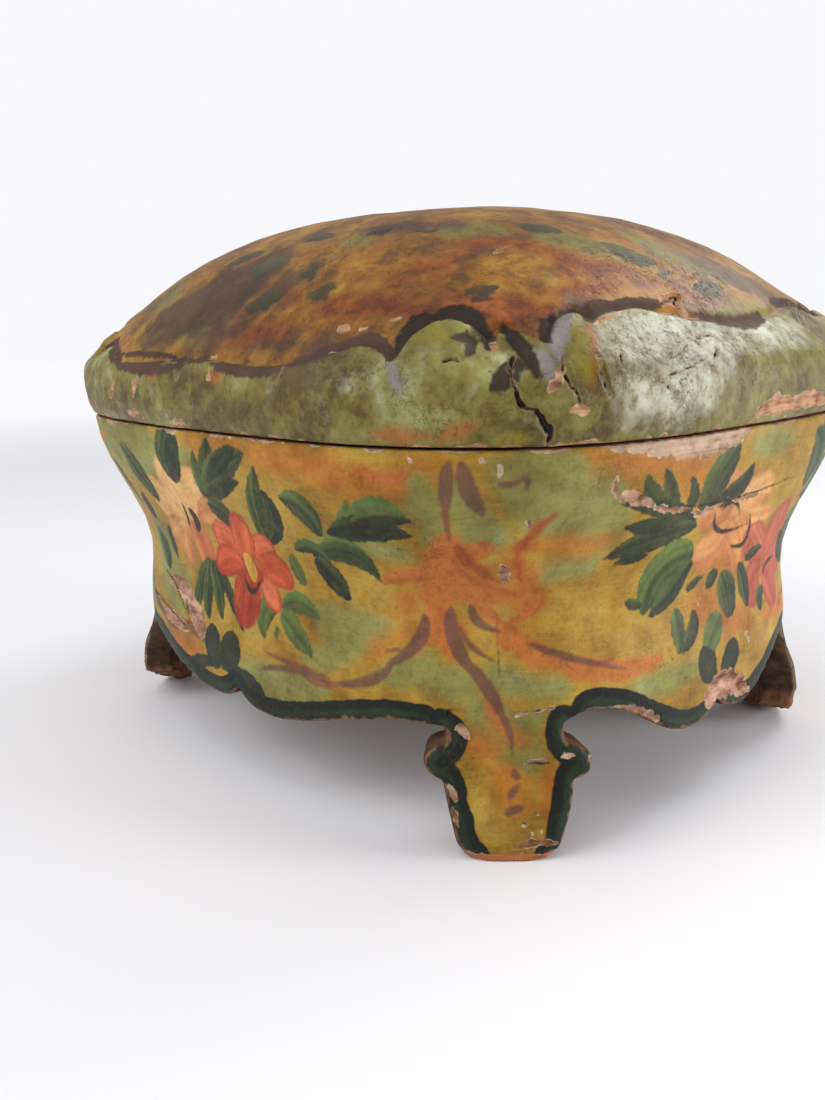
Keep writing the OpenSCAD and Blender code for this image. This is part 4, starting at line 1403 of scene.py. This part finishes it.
# Leaf dabs, and patches of olive, of orange brown and of dark mottling in the dome's ochre
dome_dabs = [
    ((-3, 46), (2, 44.6), (7, 48), 5, 0.1),
    ((26, 81), (34, 78), (45, 77), 8, 0.3),
    ((61, 68), (66, 62), (79, 58), 11, 0.45),
    ((-24, 77), (-18, 77.4), (-12, 78), 3, 0.3),
    ((-99, 75), (-86, 75), (-75, 76), 6, 0.3),
    ((-61, 44), (-56, 46), (-52, 48.6), 6.5, 0.3),
    ((-74, 54), (-69, 54.6), (-65, 54), 6.5, 0.3),
    ((-91, 40), (-84, 43), (-76, 45), 9, 0.3),
    ((-112, 57), (-101, 59), (-89, 60), 9, 0.5),
    ((-50, 76), (-43, 77), (-37, 78), 5, 0.2),
    ((85, 45), (93, 45), (103, 47), 8, 0.4),
    ((72, 51), (76, 52), (81, 53), 4, 0.3),
    ((-140, 62), (-130, 66), (-120, 68), 8, 0.4),
    ((150, 60), (160, 58), (170, 54), 8, 0.4),
]
dome_olive = [
    ((30, 72), (44, 69), (58, 64), 15),
    ((-64, 69), (-54, 70), (-45, 70), 8),
    ((84, 36), (102, 36), (127, 35), 7),
    ((88, 76), (94, 63), (108, 55), 18),
    ((2, 40), (5, 40.4), (8, 40), 3.4),
    ((-13, 75), (4, 79), (19, 74), 12),
    ((-124, 30), (-110, 31), (-97, 34), 10),
    ((-150, 44), (-166, 50), (-180, 60), 14),
]
dome_warmth = [
    ((-30, 40), (0, 38), (22, 39), 13),
    ((-28, 48), (-21, 54), (-13, 60), 9),
    ((-13, 48), (-12, 56), (-4, 64), 6),
    ((-5, 64), (12, 70), (28, 63), 7),
    ((26, 65), (33, 58), (27, 47), 8),
    ((16, 43), (29, 45), (39, 49), 9),
    ((35, 42), (42, 47), (57, 47), 3),
    ((54, 47), (66, 46.4), (79, 45), 7),
    ((74, 42), (83, 40.4), (96, 39), 4),
    ((-56, 40), (-38, 41), (-24, 43), 9),
    ((-106, 32), (-84, 30), (-60, 32), 10),
    ((28, 60), (45, 56), (65, 50), 9),
    ((-80, 50), (-74, 46), (-66, 44), 8),
]
dome_mottle = [
    ((-150, 38), (-118, 46), (-96, 62), 38),
    ((-122, 29), (-102, 30), (-83, 31), 11),
    ((-78, 26), (-57, 27), (-42, 31), 6),
    ((-84, 40), (-79, 48), (-68, 56), 16),
    ((-60, 78), (-30, 80), (0, 82), 8),
    ((106, 62), (119, 52), (134, 43), 20),
    ((22, 36), (27, 40), (34, 41), 4),
    ((22, 48), (26, 52), (30, 56), 5),
]
# Where the varnish has gone chalky on the right rail. The same pale patch is also a painted
# highlight: the window's reflection on the varnish, laid in as colour
chalk_and_glare_strokes = [
    ((34, 25), (54, 27), (80, 26), 24),
    ((36, 15), (48, 12), (66, 15), 17),
    ((68, 31), (94, 29), (126, 27), 11),
]

points = points_of(lid)
along = along_rim(points)
corner = from_corner(along)
up = up_the_lid(points)
facing_up = normals_of(lid)[:, 2]
outward = np.where(
    points[:, 2] > shoulder + 2, np.clip((facing_up + 0.1) / 0.3, 0, 1), faces_out(lid)
)
olive = np.interp(corner, olive_edge_along, olive_edge_up) - up
olive = olive + 0.4 * ripple(points, 9, 18)
lines, line_tone = painted(corner, up, dark_lines, blunt=0.4)
more_lines, more_tone = painted(along, up, left_lines, blunt=0.4)
give(lid, "olive", np.clip(olive, -8, 8))
give(lid, "line_tone", np.where(more_lines > lines, more_tone, line_tone))
lines = np.maximum(lines, more_lines)
give(lid, "lines", lines)
for name, strokes, spots in (
    ("pale_and_highlight", pale_paint_and_highlight_strokes, corner),
    ("yellow", yellow_strokes, corner),
    ("warm_seam", seam_patches, corner),
    ("dome_olive", dome_olive, along),
    ("warmth", dome_warmth, along),
    ("mottle", dome_mottle, along),
    ("chalk_and_glare", chalk_and_glare_strokes, along),
):
    give(lid, name, covered(spots, up, strokes, 0.5, 0.5))
dabs, dabs_tone = painted(along, up, dome_dabs, 0.2, 0.5, 0.5)
give(lid, "dabs", dabs)
give(lid, "dabs_tone", dabs_tone)
loss = covered(along, up, lid_losses, blunt=0.5) - 0.4
crack = covered(along, up, lid_cracks, blunt=0.25)
ragged = 0.45 * ripple(points, 5, 13) + 0.4 * ripple(points, 2.1, 14)
rim_wear = 0.1 - up + 1.0 * ripple(points, 14, 15) + 0.7 * ripple(points, 5, 19)
loss = np.maximum(loss + ragged, rim_wear)
wander = 0.22 * ripple(points, 4, 16) + 0.16 * ripple(points, 1.9, 17)
crack = crack + wander * np.clip(crack + 2, 0, 1)

# The knife, wear and cracks move the lid's surface in the same way
hand_cut = 0.2 * ripple(points, 38, 11) + 0.09 * ripple(points, 12, 12)
dents = 0.08 * ripple(points, 5.5, 20) * (up < 40)
above_edge = np.clip(-olive, 0, 6)
groove = 0.9 * bell(above_edge, 1.2, 1.4) * (olive < 0.8)
lip = 0.5 * bell(olive, 1.5, 2.0) * (olive > -1)


def round_spot(middle, half_along, half_up):
    """1 in the middle of an oval spot on each corner's scroll, and 0 past its edge."""
    off = np.hypot((corner - middle[0]) / half_along, (up - middle[1]) / half_up)
    return np.clip(1 - off, 0, 1)


# The scrolls are carved in full at the corner in front and the one opposite, and flatter elsewhere
plainer = np.where(np.abs(along) < 90, 1, 0.35)
boss = 0.6 * plainer * round_spot((-12, 22), 10, 10) ** 0.5
eye = 0.8 * plainer * round_spot((-8, 22), 3.4, 3.4)
lobe = 0.5 * plainer * round_spot((24, 26), 5, 11) ** 0.5
flaked = 0.45 * np.clip(loss / 0.8, 0, 1)
split = 1.5 * np.clip(crack / 0.8 + 0.4, 0, 1)
curled = 0.35 * bell(crack, -1.1, 0.6) * (crack < 0)
swirl = 0.7 * np.clip(lines / 1.5 + 0.3, 0, 1) * (corner > -24) * (corner < 32)
worn_corner = 1.8 * bell(along, -211, 32) * bell(up, 24, 15)
carved = hand_cut + dents + lip * plainer + boss + lobe + curled - groove - eye - worn_corner
push(lid, (carved - flaked - split - swirl) * outward)
give(lid, "loss", np.clip(loss, -5, 5))
give(lid, "crack", np.clip(crack, -3, 3))
give(lid, "outside", outward)

lid_pieces = {"lid_top": taken_from(lid, "painted_lid_top", on_top, ring=True)}
for number, side in enumerate(side_names):
    own = (lid_side == number) & ~on_top
    lid_pieces["lid_" + side + "_rail"] = taken_from(lid, "painted_lid_" + side + "_rail", own)
bpy.data.objects.remove(lid)
top = lid_pieces["lid_top"]
outside_values = np.empty(len(top.data.vertices), dtype=np.float32)
top.data.attributes["outside"].data.foreach_get("value", outside_values)
# The hollow needs fewer faces than the carved outside
hidden = top.vertex_groups.new(name="hidden")
hidden.add(np.flatnonzero(outside_values < 0.05).tolist(), 1.0, "REPLACE")
thinned = top.modifiers.new("thinned", "DECIMATE")
thinned.ratio = 0.62
thinned.vertex_group = "hidden"
bpy.ops.object.select_all(action="DESELECT")
bpy.context.view_layer.objects.active = top
top.select_set(True)
bpy.ops.object.modifier_apply(modifier="thinned")
top.vertex_groups.clear()

lid_paint, tree, surface = fresh_material("lid_paint")
clouds = noise_at(tree, 34.0, 6.0, roughness=0.6)
fine = noise_at(tree, 170.0, 6.0, roughness=0.65)
grain = noise_at(tree, 520.0, 4.0)
olive_share = contrast(tree, sums(tree, "MULTIPLY_ADD", fine, 0.7, clouds), 0.86, 3.0)
olive_colour = ramp(
    tree,
    olive_share,
    (0.0, tint(90, 74, 34)),
    (0.4, tint(120, 110, 52)),
    (0.75, tint(136, 132, 72)),
    (1.0, tint(154, 154, 102)),
)
dome_share = contrast(tree, sums(tree, "MULTIPLY_ADD", fine, 0.5, clouds), 0.77, 2.6)
dome_colour = ramp(
    tree,
    dome_share,
    (0.0, tint(104, 64, 22)),
    (0.5, tint(154, 104, 32)),
    (1.0, tint(176, 142, 54)),
)
dome_olive_mask = edge_mask(tree, read(tree, "dome_olive"), 4.0, 100.0, 5.0)
dome_colour = glaze_over(tree, dome_colour, 0.8, dome_olive_mask, tint(128, 122, 58))
warm_colour = ramp(tree, fine, (0.35, tint(104, 40, 12)), (0.65, tint(160, 82, 26)))
warm_mask = edge_mask(tree, read(tree, "warmth"), 4.0, 110.0, 6.0)
dome_colour = glaze_over(tree, dome_colour, 0.85, warm_mask, warm_colour)
mottle_mask = edge_mask(tree, read(tree, "mottle"), 9.0, 110.0, 6.0)
dome_colour = glaze_over(tree, dome_colour, 0.75, mottle_mask, tint(72, 54, 42))
soot = contrast(tree, noise_at(tree, 150.0, 8.0, roughness=0.72), 0.57, 9.0)
dome_colour = glaze_over(tree, dome_colour, 0.5, soot, tint(64, 42, 24))
dab_colour = ramp(tree, read(tree, "dabs_tone"), (0.1, tint(44, 42, 34)), (0.7, tint(78, 84, 46)))
dab_mask = edge_mask(tree, read(tree, "dabs"), 3.0, 330.0, 1.4)
dome_colour = glaze_over(tree, dome_colour, 0.85, dab_mask, dab_colour)
olive_mask = edge_mask(tree, read(tree, "olive"), 0.8, 320.0, 0.8)
colour = blended(tree, olive_mask, dome_colour, olive_colour)
# Pale chalky varnish on the right rail, whitened further as a painted highlight where the window's
# reflection falls
chalk_and_glare_mask = edge_mask(tree, read(tree, "chalk_and_glare"), 8.0, 130.0, 9.0)
chalk_and_glare_mask = sums(tree, "MULTIPLY", chalk_and_glare_mask, olive_mask)
thin_chalk_and_glare = contrast(tree, noise_at(tree, 240.0, 6.0, roughness=0.7), 0.43, 5.0)
chalk_and_glare_mask = sums(tree, "MULTIPLY", chalk_and_glare_mask, thin_chalk_and_glare)
colour = glaze_over(tree, colour, 0.82, chalk_and_glare_mask, tint(214, 219, 200))
yellow_mask = edge_mask(tree, read(tree, "yellow"), 0.8, 200.0, 1.8)
colour = glaze_over(tree, colour, 0.75, yellow_mask, tint(142, 130, 40))
seam_mask = edge_mask(tree, read(tree, "warm_seam"), 1.8, 200.0, 2.2)
colour = glaze_over(tree, colour, 0.75, seam_mask, tint(160, 92, 34))
# Pale lilac grey over the scrolls, partly paint and partly painted highlights on their steep faces
pale_and_highlight_mask = edge_mask(tree, read(tree, "pale_and_highlight"), 1.2, 300.0, 1.6)
colour = glaze_over(tree, colour, 0.8, pale_and_highlight_mask, tint(142, 134, 140))
line_colour = ramp(tree, read(tree, "line_tone"), (0.05, tint(34, 32, 26)), (0.9, tint(80, 58, 50)))
line_mask = edge_mask(tree, read(tree, "lines"), 1.1, 420.0, 0.8)
colour = glaze_over(tree, colour, 0.94, line_mask, line_colour)

dirt = place(tree, "ShaderNodeGroup", {"Amount": 0.6}, node_tree=grime)
colour = blended(tree, dirt.outputs["Film"], colour, tint(132, 104, 66), "MULTIPLY")
cracks = place(
    tree, "ShaderNodeGroup", {"Cells": 380.0, "Width": 0.08, "Cover": 0.45}, node_tree=age_cracks
).outputs["Mask"]
colour = glaze_over(tree, colour, 0.65, cracks, tint(46, 38, 24))
specks = sums(tree, "SUBTRACT", 1.0, contrast(tree, grain, 0.36, 9.0))
colour = glaze_over(tree, colour, 0.5, specks, tint(60, 46, 28))
colour = glaze_over(tree, colour, 0.8, dirt.outputs["Specks"], tint(48, 36, 26))
loss = read(tree, "loss")
lost = edge_mask(tree, loss, 0.6, 480.0, 0.3)
gesso_ring = edge_mask(tree, sums(tree, "ADD", loss, 0.04), 0.8, 420.0, 0.3)
wood = old_wood(tree, tint(204, 160, 126), tint(124, 80, 56))
colour = glaze_over(tree, colour, 0.75, gesso_ring, tint(200, 180, 138))
colour = blended(tree, lost, colour, wood["Colour"])
crack_depth = read(tree, "crack")
crack_rim = edge_mask(tree, sums(tree, "ADD", crack_depth, 0.35), 0.9, 420.0, 0.4)
crack_dark = edge_mask(tree, crack_depth, 0.4, 420.0, 0.3)
colour = glaze_over(tree, colour, 0.5, crack_rim, tint(162, 134, 92))
colour = blended(tree, crack_dark, colour, tint(30, 20, 18))
inside_wood = old_wood(tree, tint(136, 98, 68), tint(88, 60, 43), level_grain)
outside = sums(tree, "SUBTRACT", read(tree, "outside"), 0.5)
outside_mask = edge_mask(tree, outside, 0.4, 320.0, 0.5)
colour = blended(tree, outside_mask, inside_wood["Colour"], colour)
tree.links.new(colour, surface.inputs["Base Color"])
surface.inputs["Specular IOR Level"].default_value = 0.22
gloss = added(tree, 0.28, (clouds, 0.24), (line_mask, 0.25), (lost, 0.4))
bare = sums(tree, "SUBTRACT", 1.0, outside_mask)
gloss = sums(tree, "MULTIPLY_ADD", bare, 0.4, gloss, clamp=True)
tree.links.new(gloss, surface.inputs["Roughness"])
relief = added(
    tree,
    sums(tree, "MULTIPLY", fine, 0.6),
    (cracks, -0.6),
    (lost, -0.6),
    (wood["Height"], sums(tree, "MULTIPLY", lost, 0.4)),
    (grain, 0.35),
)
raise_surface(tree, surface, relief, 0.5, relief_depth)

for node, piece in lid_pieces.items():
    piece.data.materials.append(lid_paint)
    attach(piece, "lid")
    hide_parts(node)

# The hinges
# Two small butt hinges of old brass let into the back edges, with iron screws.
old_brass, tree, surface = fresh_material("old_brass")
tarnish = noise_at(tree, 420.0, 6.0)
brass_colour = ramp(tree, tarnish, (0.35, tint(84, 62, 34)), (0.65, tint(170, 134, 72)))
tree.links.new(brass_colour, surface.inputs["Base Color"])
surface.inputs["Metallic"].default_value = 1.0
tree.links.new(sums(tree, "MULTIPLY_ADD", tarnish, 0.4, 0.25), surface.inputs["Roughness"])
dark_iron, tree, surface = fresh_material("dark_iron")
rust = noise_at(tree, 500.0, 5.0)
iron_colour = ramp(tree, rust, (0.4, tint(58, 54, 50)), (0.65, tint(104, 66, 42)))
tree.links.new(iron_colour, surface.inputs["Base Color"])
surface.inputs["Metallic"].default_value = 0.8
surface.inputs["Roughness"].default_value = 0.6
for node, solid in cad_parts.items():
    finish = dark_iron if "screws" in node else old_brass
    if "leaf" in node or "pin" in node or "screws" in node:
        solid.data.materials.clear()
        solid.data.materials.append(finish)
